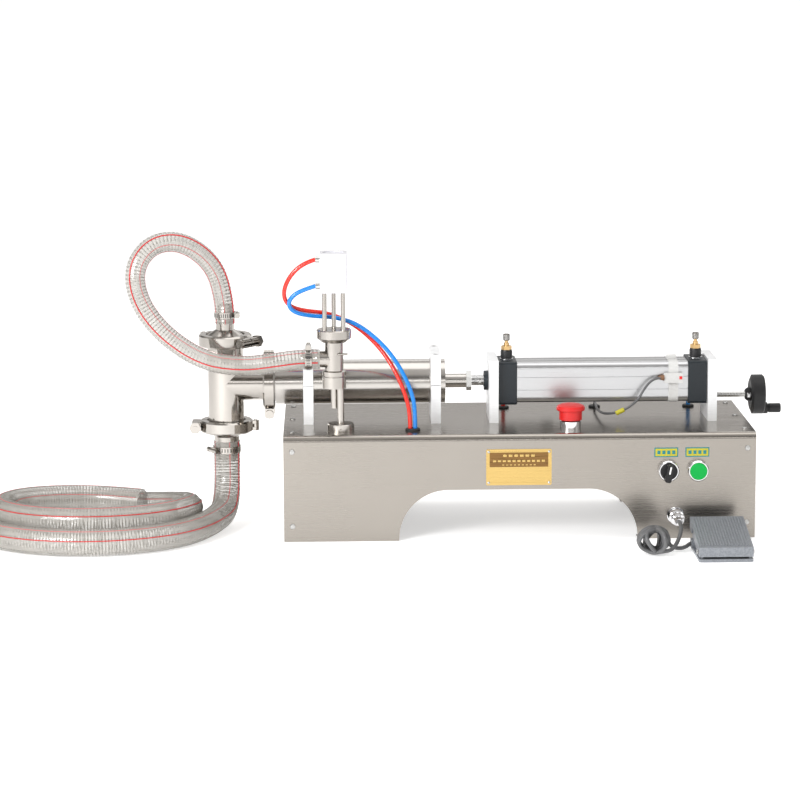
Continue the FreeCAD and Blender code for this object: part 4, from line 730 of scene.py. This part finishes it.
# pieces on the air cylinder

def flowControls():
    size = {"capTop": 0.2355, "line": 0.130, "teeth": 28, "reach": 0.0047,
            "tooth": (0.0006, 0.0005, 0.0068), "knobMiddle": 0.0312}
    for body, x in flowKnobs.items():
        washer = bmesh.new()
        addTurned(washer, [(0.0086, 0), (0.0098, 0), (0.0098, 0.0012), (0.0086, 0.0016)],
                  at(x, size["line"], size["capTop"]), zAxis)
        shapePiece(body + "_washer", washer, "chrome")
        knurl = bmesh.new()
        for i in range(size["teeth"]):
            turn = Matrix.Rotation(2 * math.pi * i / size["teeth"], 4, "Z")
            centre = at(x, size["line"], size["capTop"] + size["knobMiddle"])
            spot = centre + turn @ Vector((size["reach"], 0, 0))
            addBlock(knurl, spot, size["tooth"], 0.0001, turn)
        shapePiece(body + "_knurl", knurl, "zincSteel", body)


def reedDetails():
    size = {"light": (0.2348, 0.0934, 0.2118), "lightSize": (0.0042, 0.0008, 0.0046),
            "boot": (0.2112, 0.0955, 0.212),
            "bootProfile": [(0, 0), (0.0042, 0), (0.0038, 0.003), (0.0023, 0.0085), (0, 0.0085)]}
    light = bmesh.new()
    addBlock(light, at(*size["light"]), size["lightSize"], 0.0003)
    shapePiece("reedLight", light, "ledRed")
    boot = bmesh.new()
    addTurned(boot, size["bootProfile"], at(*size["boot"]), -xAxis, 24)
    shapePiece("reedBoot", boot, "bootBrown")


def rodThread():
    size = {"start": (-0.0616, 0.130, 0.2045), "length": 0.019, "core": 0.0070, "crest": 0.0077,
            "pitch": 0.0015}
    shape = bmesh.new()
    addThread(shape, at(*size["start"]), xAxis, size["length"], size["core"], size["crest"],
              size["pitch"])
    shapePiece("rodThread", shape, "zincSteel", "piston_train")


def leadScrew():
    size = {"low": -0.038, "threadEnd": 0.272, "high": 0.353, "line": (0.1655, 0.1745),
            "shank": 0.0039, "plain": 0.014, "core": 0.0035, "crest": 0.00395, "pitch": 0.002}
    shape = bmesh.new()
    start = at(size["low"], *size["line"])
    span = size["threadEnd"] - size["low"]
    whole = size["high"] - size["low"]
    profile = [(0, 0), (size["shank"], 0), (size["shank"], size["plain"]),
               (size["core"], size["plain"] + 0.0005), (size["core"], span),
               (size["shank"], span + 0.0005), (size["shank"], whole), (0, whole)]
    addTurned(shape, profile, start, xAxis, 24)
    addThread(shape, start + xAxis * size["plain"], xAxis, span - size["plain"], size["core"],
              size["crest"], size["pitch"], 12)
    screw = shapePiece("leadScrew", shape, "zincSteel", "adjuster", 50)
    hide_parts("lead_screw")


nameplateMarks()
operatorLabels()
selectorMark()
clipSlotShade()
flowControls()
reedDetails()
rodThread()
leadScrew()
print("detail pieces")
